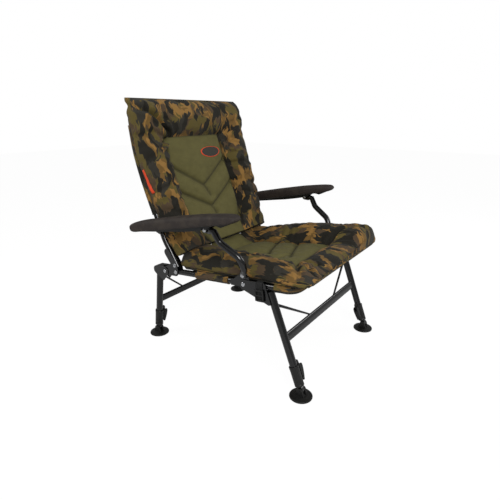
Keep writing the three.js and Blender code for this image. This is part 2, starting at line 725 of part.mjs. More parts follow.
function mudFoot(footY) {
  const plate = toGeometry(revolved(discShares.map(([out, up]) => v2(out * DISC_R, up * DISC_H)), 24));
  plate.translate(FRAME_X, 0, 0);
  const cheek = roundedHull([
    disc(0, FOOT_PIN_Z, FORK_EYE_R),
    disc(-FORK_FOOT_HALF, FORK_FOOT_UP, FORK_FOOT_R),
    disc(FORK_FOOT_HALF, FORK_FOOT_UP, FORK_FOOT_R),
  ]);
  const forks = [
    sidePlate(cheek, FRAME_X - FORK_OUT, FRAME_X - FORK_IN),
    sidePlate(cheek, FRAME_X + FORK_IN, FRAME_X + FORK_OUT),
  ];
  const pinHalf = FORK_OUT + FOOT_PIN_PROUD;
  const pin = crossBar(v2(0, FOOT_PIN_Z), FOOT_PIN_R, FRAME_X - pinHalf, FRAME_X + pinHalf);
  const foot = toGeometry(join(toSolid(plate), ...forks, pin));
  foot.translate(0, footY, 0);
  return toSolid(foot);
}

const legEnds = [
  ["front", frontLegs, frontLegTop - FRONT_INNER_ROOM, FRONT_FOOT_Y],
  ["rear", rearLegs, rearLegTop - REAR_INNER_ROOM, REAR_FOOT_Y],
];
for (const [end, frame, top, footY] of legEnds) {
  putPair(end + "_leg_clamp", legClamp(), DARK_PLASTIC, frame);
  putPair(end + "_clamp_lever", clampLever(), DARK_PLASTIC, frame);
  putPair(end + "_inner_leg", innerLeg(top), BLACK_PAINT, frame);
  putPair(end + "_mud_foot", mudFoot(footY), DARK_PLASTIC, chair);
}

// Rivets through the seat's own pivots
putPair("back_pivot_rivet", clevisRivet(v2(BACK_PIVOT_Y, BACK_PIVOT_UP), PLATE_OUT), ZINC, seat);
putPair("rear_leg_rivet", clevisRivet(v2(REAR_PIVOT_Y, 0), CHEEK_OUT), ZINC, seat);
putPair("front_leg_rivet", clevisRivet(v2(FRONT_PIVOT_Y, 0), CHEEK_OUT), ZINC, seat);

// Back frame: one tube bent to an arch, and curved from its pivots to its top
const BACK_TAIL = 8.5;
const BACK_RUN = 179.5;
const BACK_RISE = 534;
const BACK_CORNER_R = 44;
const BACK_FOOT_TUBE = 52;
const backBendShares = [0.163, 0.2379, 0.3315, 0.4533, 0.5843, 0.7342, 0.8933];
const backBendsZ = backBendShares.map((share) => backPivot.y + share * BACK_RISE);
const backShares = [
  [0.192, 0.0824],
  [0.3036, 0.1685],
  [0.4763, 0.3146],
  [0.7549, 0.5524],
  [0.8942, 0.7097],
  [0.9833, 0.9382],
  [1, 1],
];
const backCurve = new THREE.CatmullRomCurve3([
  v3(0, backPivot.x, backPivot.y),
  ...backShares.map(([run, rise]) => v3(0, backPivot.x + run * BACK_RUN, backPivot.y + rise * BACK_RISE)),
]);

// A line that rises through a height: how far back it is there, and its direction
function lineAt(line, z) {
  const i = Math.min(Math.max(line.findIndex((point) => point.z >= z), 1), line.length - 1);
  const [low, high] = z > line[line.length - 1].z ? line.slice(-2) : [line[i - 1], line[i]];
  const share = (z - low.z) / (high.z - low.z);
  return {
    y: low.y + (high.y - low.y) * share,
    tangent: v2(high.y - low.y, high.z - low.z).normalize(),
  };
}

// Middle line of the back tube, bent at a few heights that its sling and cushion share
const smoothBack = backCurve.getPoints(120);
const backFootTop = besideBackTube(BACK_FOOT_TUBE);
const backLine = [
  v3(0, backPivot.x, backPivot.y),
  backFootTop,
  ...backBendsZ.map((z) => v3(0, lineAt(smoothBack, z).y, z)),
  smoothBack[smoothBack.length - 1],
];
const backAt = (z) => ({ y: lineAt(backLine, z).y, tangent: lineAt(smoothBack, z).tangent });

// A place on the line of the straight foot of the back tube
function besideBackTube(up) {
  return v3(0, backPivot.x + backFootDir.x * up, backPivot.y + backFootDir.y * up);
}

// A place on the back: across it, up its tube and out in front of the tube's middle line
function onBack(x, z, ahead) {
  const { y, tangent } = backAt(z);
  return v3(x, y - ahead * tangent.y, z + ahead * tangent.x);
}

const backSide = [besideBackTube(-BACK_TAIL), ...backLine.slice(1, -1)];
const archLine = [backLine[backLine.length - 2], backLine[backLine.length - 1]];
const archCorners = [
  ...archLine.map((point) => point.clone().setX(FRAME_X)),
  ...archLine.toReversed().map((point) => point.clone().setX(-FRAME_X)),
];
const backPath = [
  ...backSide.slice(0, -1).map((point) => point.clone().setX(FRAME_X)),
  ...bentLine(archCorners, BACK_CORNER_R),
  ...backSide.slice(0, -1).toReversed().map((point) => point.clone().setX(-FRAME_X)),
];
const backPivotHoles = [-FRAME_X, FRAME_X].map((x) => crossBar(backPivot, RIVET_R + FIT, x - 2 * RAIL_R, x + 2 * RAIL_R));
put("back_frame", cut(tube(backPath, RAIL_R, RAIL_R - TUBE_WALL), ...backPivotHoles), BLACK_PAINT, chair);

// Back sling: a sheet between the sides of the back tube, with a sleeve round each side
const BACK_SLEEVES = 2;

function backSling() {
  const top = backLine[backLine.length - 1].z - RAIL_R - 2 * CLOTH;
  const rings = [...backBendsZ, top].map((z) => {
    const edge = z === top ? SLING_EDGE_X - SLING_CORNER : SLING_EDGE_X;
    return [
      onBack(-edge, z, CLOTH / 2),
      onBack(edge, z, CLOTH / 2),
      onBack(edge, z, -CLOTH / 2),
      onBack(-edge, z, -CLOTH / 2),
    ];
  });
  const sleeves = [-FRAME_X, FRAME_X].map((x) => {
    const line = backBendsZ.slice(BACK_SLEEVES).map((z) => onBack(x, z, 0));
    return tube(line, sleeveR, RAIL_R + FIT);
  });
  return join(loft(rings), ...sleeves);
}
put("back_sling", backSling(), SLING_CLOTH, chair);

// Arm hinge ears: a plate behind each side of the back tube with the stud that the armrest turns on.
// The arm tube and the back tube lean alike, so that the armrest stays level as they fold.
const ARM_X = 312;
const ARM_REST_DEG = 12.9;
const ARM_RUN = 118.01;
const ARM_RISE = 135.45;
const upperPivot = armPivot.clone().add(v2(ARM_RUN, ARM_RISE));
const armHinge = backPivot.clone().add(v2(ARM_RUN, ARM_RISE));
const STUD_R = 5;
const STUD_END = 8;
const STUD_GAP = 1;
const EAR_PAD_R = 7;
const HINGE_EAR_R = 10;
const HINGE_EAR_THICK = 3;
const HINGE_EAR_DROP = 20.5;
const HINGE_EAR_RISE = 14.5;

function armHingeEar() {
  const inner = FRAME_X + PLATE_IN;
  const low = armHinge.y - HINGE_EAR_DROP;
  const high = armHinge.y + HINGE_EAR_RISE;
  const plate = roundedHull([
    disc(backAt(low).y, low, EAR_PAD_R),
    discAt(armHinge, HINGE_EAR_R),
    disc(backAt(high).y, high, EAR_PAD_R),
  ]);
  return join(
    sidePlate(plate, inner, inner + HINGE_EAR_THICK),
    crossBar(armHinge, STUD_R, inner + FIT, ARM_X + STUD_END),
  );
}
putPair("arm_hinge_ear", armHingeEar(), BLACK_PAINT, chair);

// Arm supports: a tube bent twice, from a tongue outside the rail bracket up to one under the armrest
const ARM_BEND_R = 45;
const TONGUE_THICK = 8;
const TONGUE_GAP = 0.5;
const ARM_TONGUE_X = FRAME_X + CHEEK_OUT + TONGUE_GAP;
const ARM_SPACER_R = 9;
const ARM_EYE_R = 13;
const ARM_TOP_EYE_R = 12;
const ARM_LOW_LAP = 6;
const ARM_TOP_LAP = 2;
const ARM_FOOT_OUT = 7.9;
const armCornerShares = [
  [0, -0.0846, 0.1953],
  [0.2766, -0.0423, 0.4315],
  [0.8298, 0.5424, 0.7416],
  [1, 0.7712, 0.9926],
];
const armFootX = ARM_TONGUE_X + TONGUE_THICK / 2 + ARM_FOOT_OUT;
const armCorners = armCornerShares.map(([out, run, rise]) =>
  v3(armFootX + out * (ARM_X - armFootX), armPivot.x + run * ARM_RUN, armPivot.y + rise * ARM_RISE),
);

function armSupport() {
  const [foot, , , top] = armCorners;
  const lower = roundedHull([discAt(armPivot, ARM_EYE_R), disc(foot.y, foot.z + ARM_LOW_LAP, RAIL_R)]);
  const upper = roundedHull([discAt(upperPivot, ARM_TOP_EYE_R), disc(top.y, top.z - ARM_TOP_LAP, RAIL_R)]);
  const body = join(
    tube(bentLine(armCorners, ARM_BEND_R), RAIL_R),
    sidePlate(lower, ARM_TONGUE_X, ARM_TONGUE_X + TONGUE_THICK),
    sidePlate(upper, ARM_X - TONGUE_THICK / 2, ARM_X + TONGUE_THICK / 2),
    crossBar(armPivot, ARM_SPACER_R, FRAME_X + PLATE_OUT + RUNNING_FIT, ARM_TONGUE_X + 2 * TONGUE_GAP),
  );
  return cut(
    body,
    rivetHole(armPivot, FRAME_X, ARM_TONGUE_X + TONGUE_THICK),
    rivetHole(upperPivot, ARM_X - TONGUE_THICK, ARM_X + TONGUE_THICK),
  );
}
putPair("arm_support", armSupport(), BLACK_PAINT, chair);
const lowerGrip = [FRAME_X + PLATE_IN - FIT, ARM_TONGUE_X + TONGUE_THICK + FIT];
putPair("arm_lower_rivet", rivet(v2(ARM_PIVOT_Y, ARM_PIVOT_UP), ...lowerGrip), ZINC, seat);

// Armrests: each in a frame at its hinge on the back, forward along -Y
const EAR_IN = TONGUE_THICK / 2 + RUNNING_FIT;
const LUG_THICK = 4;
const EYE_ROOM_STEPS = 12;
const EAR_OUT = EAR_IN + LUG_THICK;
const KEEL_HALF = 15;
const LUG_R = 9.5;
const armrests = new THREE.Group();
armrests.position.set(0, armHinge.x, armHinge.y);
armrests.rotation.x = -deg(ARM_REST_DEG);
chair.add(armrests);
const onArm = v3(0, upperPivot.x - armHinge.x, upperPivot.y - armHinge.y);
onArm.applyEuler(new THREE.Euler(deg(ARM_REST_DEG), 0, 0));
const armLug = v2(onArm.y, onArm.z);

// Profile of the base, forward of the hinge and above it: its top and then its underside
const ARM_PAD_LEN = 475;
const ARM_PAD_DEPTH = 40;
const baseTopShares = [
  [-0.1053, 0.2],
  [0.0737, 0.4],
  [0.4568, 0.325],
  [0.6695, 0.3],
  [0.8947, 0.1],
  [0.9579, -0.05],
];
const baseUnderShares = [
  [0.9726, -0.175],
  [0.9158, -0.45],
  [0.8358, -0.625],
  [0.7895, -0.425],
  [0.7474, -0.475],
  [0.7158, -0.675],
  [0.6316, -0.725],
  [0.4905, -0.7],
  [0.2737, -0.55],
  [0.0632, -0.4],
  [-0.0968, -0.35],
];
const armSized = ([ahead, ...rest]) => [ahead * ARM_PAD_LEN, ...rest.map((share) => share * ARM_PAD_DEPTH)];
const baseTop = baseTopShares.map(armSized);
const baseUnder = baseUnderShares.map(armSized);

function armrestBase() {
  const profile = [...baseTop, ...baseUnder].map(([ahead, up]) => v2(-ahead, up));
  const keel = sidePlate(new THREE.Shape(profile), ARM_X - KEEL_HALF, ARM_X + KEEL_HALF);
  const lug = roundedHull([
    disc(armLug.x, armLug.y + 3 * LUG_R, LUG_R),
    disc(armLug.x, armLug.y, LUG_R),
  ]);
  const eyeRoomR = ARM_TOP_EYE_R + 2 * RUNNING_FIT;
  const eyeRoom = [
    disc(armLug.x, armLug.y, eyeRoomR),
    disc(armLug.x - 3 * ARM_TOP_EYE_R, armLug.y - ARM_TOP_EYE_R / 2, eyeRoomR),
  ];
  const room = roundedHull(eyeRoom, EYE_ROOM_STEPS);
  const solid = join(keel, sidePlate(lug, ARM_X - EAR_OUT, ARM_X + EAR_OUT));
  const recesses = [-1, 1].map((side) => {
    const ends = [side * EAR_OUT, side * (KEEL_HALF + OVERRUN)].sort((a, b) => a - b);
    return crossBar(armLug, RIVET_HEAD_R + RUNNING_FIT, ARM_X + ends[0], ARM_X + ends[1]);
  });
  return cut(
    solid,
    ...recesses,
    sidePlate(room, ARM_X - EAR_IN, ARM_X + EAR_IN),
    crossBar(armLug, RIVET_R + FIT, ARM_X - 2 * KEEL_HALF, ARM_X + 2 * KEEL_HALF),
    crossBar(v2(0, 0), STUD_R + FIT, ARM_X - 2 * KEEL_HALF, ARM_X + STUD_END + STUD_GAP),
  );
}
putPair("armrest_base", armrestBase(), DARK_PLASTIC, armrests);

// Armrest pads: stations along the pad give its top, its skirt and its half width
const PAD_SHOULDER_SHARE = 0.72;
const PAD_FLANK_SHARE = 0.93;
const padStationShares = [
  [-0.1221, 0.2, -0.05, 0.5667],
  [-0.1116, 0.325, -0.225, 0.8],
  [-0.08, 0.425, -0.35, 0.9333],
  [0.0737, 0.575, -0.4, 0.9667],
  [0.2737, 0.575, -0.425, 0.9667],
  [0.4737, 0.55, -0.45, 1],
  [0.6695, 0.475, -0.45, 1],
  [0.8316, 0.35, -0.475, 0.9667],
  [0.9221, 0.25, -0.45, 0.9],
  [0.9747, 0.15, -0.375, 0.7333],
  [1, -0.025, -0.225, 0.4667],
];
const ARM_PAD_HALF_W = 30;
const PAD_NOTCH = 2;

function armrestPad() {
  const rings = padStationShares.map(([aheadShare, topShare, skirtShare, halfShare]) => {
    const [ahead, top, skirt] = armSized([aheadShare, topShare, skirtShare]);
    const half = halfShare * ARM_PAD_HALF_W;
    const shoulder = top - (top - skirt) / 5;
    const side = [
      [half * PAD_SHOULDER_SHARE, skirt],
      [half * PAD_FLANK_SHARE, skirt + (top - skirt) / 8],
      [half, (skirt + shoulder) / 2],
      [half * PAD_FLANK_SHARE, shoulder],
      [half * PAD_SHOULDER_SHARE, top - (top - skirt) / 16],
    ];
    const section = [...side, [0, top], ...side.toReversed().map(([across, up]) => [-across, up])];
    return section.map(([across, up]) => v3(ARM_X + across, -ahead, up));
  });
  const rearGap = baseTop[0][0] - 2 * FIT;
  const frontGap = baseUnder[0][0] + 2 * FIT;
  const channel = [
    [rearGap, -DISC_R],
    [rearGap, baseTop[0][1] + FIT],
    ...baseTop.map(([ahead, up]) => [ahead, up + FIT]),
    [frontGap, baseUnder[0][1] + 2 * FIT],
    [frontGap, -DISC_R],
  ].map(([ahead, up]) => v2(-ahead, up));
  const notch = block(
    v3(ARM_X - 2 * KEEL_HALF - OVERRUN, -STUD_R - PAD_NOTCH, -DISC_R),
    v3(ARM_X, STUD_R + PAD_NOTCH, STUD_R + PAD_NOTCH),
  );
  const half = KEEL_HALF + FIT;
  return cut(loft(rings), sidePlate(new THREE.Shape(channel), ARM_X - half, ARM_X + half), notch);
}
putPair("armrest_pad", armrestPad(), ARM_FOAM, armrests);
putPair("arm_upper_rivet", rivet(armLug, ARM_X - EAR_OUT - FIT, ARM_X + EAR_OUT + FIT), ZINC, armrests);

// Mattress sections: a smooth middle panel between raised side bolsters.
// Each row gives a station, then half widths of the mattress and its panel, then heights of both.
const PANEL_CROWN = 5;
const PANEL_SHARES = [0, 0.35, 0.7, 0.93];
const SEAM_DEPTH = 5;
const BOLSTER_SHARES = [
  [0.08, 0.28],
  [0.25, 0.78],
  [0.45, 1],
  [0.65, 0.97],
  [0.82, 0.8],
  [0.94, 0.48],
];
const EDGE_SHARE = 0.18;
const UNDER_EDGE = 7;
const OVER_RAIL = FRAME_X - (3 * RAIL_R) / 2;
const OFF_RAIL = OVER_RAIL - OVERRUN;
const UNDER_SHARES = [0.66, 0.33, 0];

// One side of a section from its middle out over the top and back below, as [across, up]
function halfSection([half, panel, panelTop, bolsterTop], underRails, underMiddle) {
  const over = PANEL_SHARES.map((share) => [panel * share, panelTop + PANEL_CROWN * (1 - share ** 2)]);
  over.push([panel, panelTop - SEAM_DEPTH]);
  for (const [share, rise] of BOLSTER_SHARES) {
    const low = share > 0.5 ? underRails : panelTop - SEAM_DEPTH;
    over.push([panel + (half - panel) * share, low + (bolsterTop - low) * rise]);
  }
  const under = [
    [half, underRails + (bolsterTop - underRails) * EDGE_SHARE],
    [half - UNDER_EDGE, underRails],
    [OVER_RAIL, underRails],
    [OFF_RAIL, underMiddle(OFF_RAIL)],
    ...UNDER_SHARES.map((share) => [OFF_RAIL * share, underMiddle(OFF_RAIL * share)]),
  ];
  return [...over, ...under];
}

// The closed ring of a section, with each [across, up] set in place
function sectionRing(section, place) {
  const outline = [...section.slice(1, -1).toReversed().map(([across, up]) => [-across, up])];
  return [...section, ...outline].map(([across, up]) => place(across, up));
}

// Seat cushion, by places along the rail
const RAIL_COVER = 18;
const PAD_GAP = 0.7;
const FRONT_COVER_GAP = 1;
const FRONT_TUBE_COVER = RAIL_R + CLOTH + FRONT_COVER_GAP;
const PAD_LIFT_Y = RAIL_FRONT_Y + 2 * RAIL_R + OVERRUN;
const SEAT_BOLSTER_H = 84;
const seatStationShares = [
  [0.5933, 0.9846, 0.3577, 0.7381, 1],
  [0.5333, 1, 0.3577, 0.5952, 1],
  [0.45, 1.0077, 0.3615, 0.4286, 0.9881],
  [0.35, 1.0154, 0.3692, 0.3333, 0.9762],
  [0.2, 1.0231, 0.3808, 0.3452, 0.9524],
  [0, 1.0231, 0.4038, 0.3571, 0.9167],
  [-0.2, 1.0231, 0.4231, 0.3571, 0.869],
  [-0.4, 1.0231, 0.4385, 0.3571, 0.8095],
  [-0.5833, 1.0308, 0.4538, 0.3452, 0.7381],
  [-0.68, 1.0385, 0.4615, 0.3214, 0.6786],
  [-0.75, 1.0462, 0.4654, 0.2619, 0.6548],
  [-0.7933, 1.05, 0.4692, 0.4048, 0.6429],
  [-0.85, 1.0577, 0.4769, 0.5119, 0.619],
  [-0.91, 1.0654, 0.4808, 0.5476, 0.6071],
  [-0.96, 1.0692, 0.4846, 0.5476, 0.5952],
  [-1.0167, 1.0731, 0.4885, 0.5357, 0.5714],
  [-1.0833, 1.0692, 0.4885, 0.4762, 0.5119],
  [-1.1267, 1.0538, 0.4846, 0.3929, 0.4048],
  [-1.15, 1.0269, 0.4692, 0.3214, 0.3214],
];

const seatStations = seatStationShares.map(([along, half, panel, ...heights]) => [
  -along * RAIL_FRONT_Y,
  half * FRAME_X,
  panel * FRAME_X,
  ...heights.map((share) => share * SEAT_BOLSTER_H),
]);

// Back cushion, by heights of the back tube beside it
const BACK_COVER_GAP = 2;
const BACK_COVER = RAIL_R + CLOTH + BACK_COVER_GAP;
const TOP_TUBE_SHARE = 0.9551;
const topTubeZ = backPivot.y + TOP_TUBE_SHARE * BACK_RISE;
const BACK_BOLSTER_H = 98;
const backStationShares = [
  [0.0413, 1.0077, 0.3692, 0.6327, 0.8776],
  [0.0825, 1.0231, 0.4, 0.5714, 0.8673],
  [0.1349, 1.0385, 0.4538, 0.5102, 0.8776],
  [0.2098, 1.0538, 0.5154, 0.4898, 0.898],
  [0.2847, 1.0615, 0.5462, 0.5102, 0.9184],
  [0.3784, 1.0731, 0.5615, 0.5306, 0.9388],
  [0.472, 1.0808, 0.5692, 0.551, 0.9694],
  [0.5656, 1.0846, 0.5731, 0.5612, 1],
  [0.6593, 1.0923, 0.5769, 0.551, 0.9796],
  [0.7435, 1.1, 0.5808, 0.5306, 0.9184],
  [0.7828, 1.1038, 0.5846, 0.5102, 0.8776],
  [0.8053, 1.1038, 0.5846, 0.4286, 0.8367],
  [0.8278, 1.1077, 0.5846, 0.5714, 0.8367],
  [0.8652, 1.1115, 0.5885, 0.6735, 0.8367],
  [0.9121, 1.1154, 0.5885, 0.7143, 0.8163],
  [0.9551, 1.1154, 0.5885, 0.7041, 0.7857],
  [0.9926, 1.1077, 0.5846, 0.6327, 0.7041],
  [1.0207, 1.0923, 0.5769, 0.5102, 0.5714],
  [1.0413, 1.0538, 0.5615, 0.3469, 0.3673],
];
const backStations = backStationShares.map(([up, half, panel, ...heights]) => [
  backPivot.y + up * BACK_RISE,
  half * FRAME_X,
  panel * FRAME_X,
  ...heights.map((share) => share * BACK_BOLSTER_H),
]);
const BACK_PAD_LOW = backStations[0][0];

// Everything above the lower face of the back cushion, as seen from the seat frame
function aboveFold() {
  const size = 2 * (FRAME_X + SEAT_HEIGHT);
  const geometry = new THREE.BoxGeometry(size, size, size);
  const { y, tangent } = backAt(BACK_PAD_LOW);
  geometry.translate(0, 0, size / 2 - CLOTH);
  geometry.rotateX(-Math.atan2(tangent.x, tangent.y));
  geometry.translate(0, y, BACK_PAD_LOW - SEAT_HEIGHT);
  geometry.rotateX(deg(SEAT_TILT_DEG));
  return toSolid(geometry);
}

function seatCushion() {
  const rings = seatStations.map(([along, ...row]) => {
    const lifted = Math.min(Math.max((PAD_LIFT_Y - along) / (RAIL_R + CLOTH), 0), 1);
    const under = (x) => {
      const onSling = slingZ(x, along) + CLOTH / 2 + PAD_GAP;
      return onSling + (FRONT_TUBE_COVER - onSling) * lifted;
    };
    return sectionRing(halfSection(row, RAIL_COVER, under), (x, up) => v3(x, along, up));
  });
  return cut(loft(rings.toReversed()), aboveFold());
}

function backCushion() {
  const rings = backStations.map(([z, ...row]) => {
    const under = () => (z < topTubeZ ? CLOTH / 2 + PAD_GAP : BACK_COVER);
    return sectionRing(halfSection(row, BACK_COVER, under), (x, ahead) => onBack(x, z, ahead));
  });
  return loft(rings);
}
put("seat_cushion", seatCushion(), CAMO_CLOTH, seat);
const backPad = backCushion();
put("back_cushion", backPad, CAMO_CLOTH, chair);

// Sewn-on pieces: skins of the back cushion's surface inside a prism
const PATCH_THICK = 1.4;

function sewnOn(prism, outward) {
  const shifted = (by) => {
    const geometry = toGeometry(backPad);
    geometry.translate(outward.x * by, outward.y * by, outward.z * by);
    return toSolid(geometry);
  };
  return prism.intersect(shifted(PAD_GAP + PATCH_THICK)).subtract(shifted(PAD_GAP));
}

const PATCH_X = 62;
const PATCH_RISE_SHARE = 0.6799;
const PATCH_CENTRE = v2(PATCH_X, backPivot.y + PATCH_RISE_SHARE * BACK_RISE);
const PATCH_HALF_W = 57;
const PATCH_HALF_H = 24;

function badgePatch() {
  const oval = new THREE.Shape();
  oval.absellipse(PATCH_CENTRE.x, PATCH_CENTRE.y, PATCH_HALF_W, PATCH_HALF_H, 0, 2 * Math.PI);
  const reach = frontPlate(oval, FRAME_X, 10);
  const moved = toGeometry(reach);
  moved.translate(0, backAt(PATCH_CENTRE.y).y - FRAME_X / 2 - CLOTH, 0);
  return sewnOn(toSolid(moved), v3(0, -1, 0));
}
put("badge_patch", badgePatch(), PATCH_CLOTH, chair);

const tabShares = [
  [0.4262, 0.4832],
  [0.6267, 0.6181],
];
const [tabLow, tabHigh] = tabShares.map(([run, rise]) =>
  v2(backPivot.x + run * BACK_RUN, backPivot.y + rise * BACK_RISE),
);
const TAB_HALF_W = 10;

function sideTab() {
  const along = v2().subVectors(tabHigh, tabLow).normalize().multiplyScalar(TAB_HALF_W);
  const across = v2(along.y, -along.x);
  const strip = new THREE.Shape([
    tabLow.clone().add(across),
    tabHigh.clone().add(across),
    tabHigh.clone().sub(across),
    tabLow.clone().sub(across),
  ]);
  return sewnOn(sidePlate(strip, -2 * FRAME_X, -FRAME_X + RAIL_R), v3(-1, 0, 0));
}
put("side_tab", sideTab(), TAB_CLOTH, chair);

// Straps that hold the cushion down: over each rail, with a ladder buckle outside
const STRAP_Y = -183;
const STRAP_W = 25;
const STRAP_THICK = 1.6;
const STRAP_BASE = 15.7;
const STRAP_IN_X = 245;
const STRAP_FACE_X = 277;
const STRAP_DROP = 48;
const BUCKLE_W = 32;
const BUCKLE_H = 38;
const BUCKLE_THICK = 4;
const BUCKLE_TOP = -7;
const BUCKLE_BAR = 5;

function padStrap() {
  const top = STRAP_BASE + STRAP_THICK;
  const outer = STRAP_FACE_X + STRAP_THICK;
  const fold = new THREE.Shape([
    v2(STRAP_IN_X, STRAP_BASE),
    v2(STRAP_FACE_X, STRAP_BASE),
    v2(STRAP_FACE_X, -STRAP_DROP),
    v2(outer, -STRAP_DROP),
    v2(outer, top - STRAP_THICK),
    v2(outer - STRAP_THICK, top),
    v2(STRAP_IN_X, top),
  ]);
  const geometry = toGeometry(frontPlate(fold, STRAP_W));
  geometry.translate(0, STRAP_Y, 0);
  return toSolid(geometry);
}
putPair("pad_strap", padStrap(), WEBBING, seat);

function rectangle(width, height, centreZ, Path) {
  return new Path([
    v2(STRAP_Y - width / 2, centreZ - height / 2),
    v2(STRAP_Y + width / 2, centreZ - height / 2),
    v2(STRAP_Y + width / 2, centreZ + height / 2),
    v2(STRAP_Y - width / 2, centreZ + height / 2),
  ]);
}

function strapBuckle() {
  const slotH = (BUCKLE_H - 3 * BUCKLE_BAR) / 2;
  const centre = BUCKLE_TOP - BUCKLE_H / 2;
  const frame = rectangle(BUCKLE_W, BUCKLE_H, centre, THREE.Shape);
  for (const side of [-1, 1]) {
    const slotZ = centre + (side * (slotH + BUCKLE_BAR)) / 2;
    frame.holes.push(rectangle(BUCKLE_W - 2 * BUCKLE_BAR, slotH, slotZ, THREE.Path));
  }
  const face = STRAP_FACE_X + STRAP_THICK + FIT;
  return sidePlate(frame, face, face + BUCKLE_THICK);
}
putPair("strap_buckle", strapBuckle(), DARK_PLASTIC, seat);

// The origin is under the middle of the chair
chair.updateMatrixWorld(true);
const middle = new THREE.Box3().setFromObject(chair).getCenter(v3(0, 0, 0));
chair.position.y = -middle.y;

export default chair;
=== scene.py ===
import json
import math
import random

import bmesh
import bpy
import numpy as np
from mathutils import Matrix, Vector, noise
from mathutils.bvhtree import BVHTree


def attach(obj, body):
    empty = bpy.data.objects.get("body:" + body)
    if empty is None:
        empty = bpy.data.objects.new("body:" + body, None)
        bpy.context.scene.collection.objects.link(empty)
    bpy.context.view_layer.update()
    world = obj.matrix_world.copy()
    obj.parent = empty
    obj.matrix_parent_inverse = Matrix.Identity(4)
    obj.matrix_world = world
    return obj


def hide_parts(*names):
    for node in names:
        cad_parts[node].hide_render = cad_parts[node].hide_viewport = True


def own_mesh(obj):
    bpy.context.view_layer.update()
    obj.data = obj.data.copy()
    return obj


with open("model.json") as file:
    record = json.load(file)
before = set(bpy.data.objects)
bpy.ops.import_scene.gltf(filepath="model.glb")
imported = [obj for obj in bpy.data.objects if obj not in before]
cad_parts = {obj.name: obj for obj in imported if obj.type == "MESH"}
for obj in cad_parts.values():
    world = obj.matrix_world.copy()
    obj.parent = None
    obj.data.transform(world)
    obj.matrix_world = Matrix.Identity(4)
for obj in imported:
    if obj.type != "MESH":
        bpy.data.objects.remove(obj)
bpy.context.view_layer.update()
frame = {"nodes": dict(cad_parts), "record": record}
nodes = frame["nodes"]

# ---------------------------------------------------------------- camera and studio
# The chair is seen from its right front, a little from above, with a short lens.
# A pale floor and soft boxes stand round it.
CAMERA_PLACE = Vector((-1.1608, -0.8186, 0.8436))
CAMERA_YAW, CAMERA_PITCH = 0.943564, 0.360444
FOCAL_SHARE = 389.14 / 500
CAMERA_SHIFT = (-0.011912, 0.020202)

look = Vector((
    math.sin(CAMERA_YAW) * math.cos(CAMERA_PITCH),
    math.cos(CAMERA_YAW) * math.cos(CAMERA_PITCH),
    -math.sin(CAMERA_PITCH),
))
right = Vector((math.cos(CAMERA_YAW), -math.sin(CAMERA_YAW), 0))
above = right.cross(look)
camera = bpy.data.objects.new("camera", bpy.data.cameras.new("camera"))
bpy.context.scene.collection.objects.link(camera)
camera.matrix_world = Matrix.Translation(CAMERA_PLACE) @ Matrix((right, above, -look)).transposed().to_4x4()
camera.data.sensor_width = 36
camera.data.lens = 36 * FOCAL_SHARE
camera.data.shift_x, camera.data.shift_y = CAMERA_SHIFT
camera.data.clip_start, camera.data.clip_end = 0.05, 50
bpy.context.scene.camera = camera
bpy.context.scene.view_settings.view_transform = "Standard"


class Wire:
    """A shader socket that can be summed and multiplied, so that a pattern reads as a formula."""

    def __init__(self, tree, socket=None):
        self.tree, self.socket = tree, socket

    def node(self, kind, inputs=None, out=0, **settings):
        made = self.tree.nodes.new(kind)
        for name, value in settings.items():
            setattr(made, name, value)
        for name, value in (inputs or {}).items():
            if isinstance(value, Wire):
                self.tree.links.new(value.socket, made.inputs[name])
            else:
                made.inputs[name].default_value = value
        return Wire(self.tree, made.outputs[out])

    def sum(self, operation, *values):
        return self.node("ShaderNodeMath", dict(enumerate(values)), operation=operation)

    def __add__(self, other):
        return self.sum("ADD", self, other)

    def __sub__(self, other):
        return self.sum("SUBTRACT", self, other)

    def __rsub__(self, other):
        return self.sum("SUBTRACT", other, self)

    def __mul__(self, other):
        return self.sum("MULTIPLY", self, other)

    __radd__, __rmul__ = __add__, __mul__

    def step(self, low, high):
        """0 below low, 1 above high and smooth between."""
        limits = {"Value": self, "From Min": low, "From Max": high}
        return self.node("ShaderNodeMapRange", limits, interpolation_type="SMOOTHSTEP")

    def scaled(self, by):
        return self.node("ShaderNodeVectorMath", {0: self, 1: by}, operation="MULTIPLY")

    def moved(self, by):
        return self.node("ShaderNodeVectorMath", {0: self, 1: by}, operation="ADD")

    def other(self, output):
        """Another output of the node that this wire comes from."""
        return Wire(self.tree, self.socket.node.outputs[output])

    def noise(self, scale, detail, roughness=0.5, distortion=0.0, out="Fac"):
        values = {"Vector": self, "Scale": scale, "Detail": detail, "Roughness": roughness, "Distortion": distortion}
        return self.node("ShaderNodeTexNoise", values, out)

    def blend(self, first, second):
        """The first colour where this is 0 and the second where it is 1."""
        return self.node("ShaderNodeMix", {0: self, 6: first, 7: second}, 2, data_type="RGBA")


def srgb(red, green, blue):
    """A colour as a painter reads it off a screen, from 0 to 255, as the linear value that a shader takes."""
    return tuple(((c / 255 + 0.055) / 1.055) ** 2.4 if c > 10 else c / 255 / 12.92 for c in (red, green, blue)) + (1.0,)


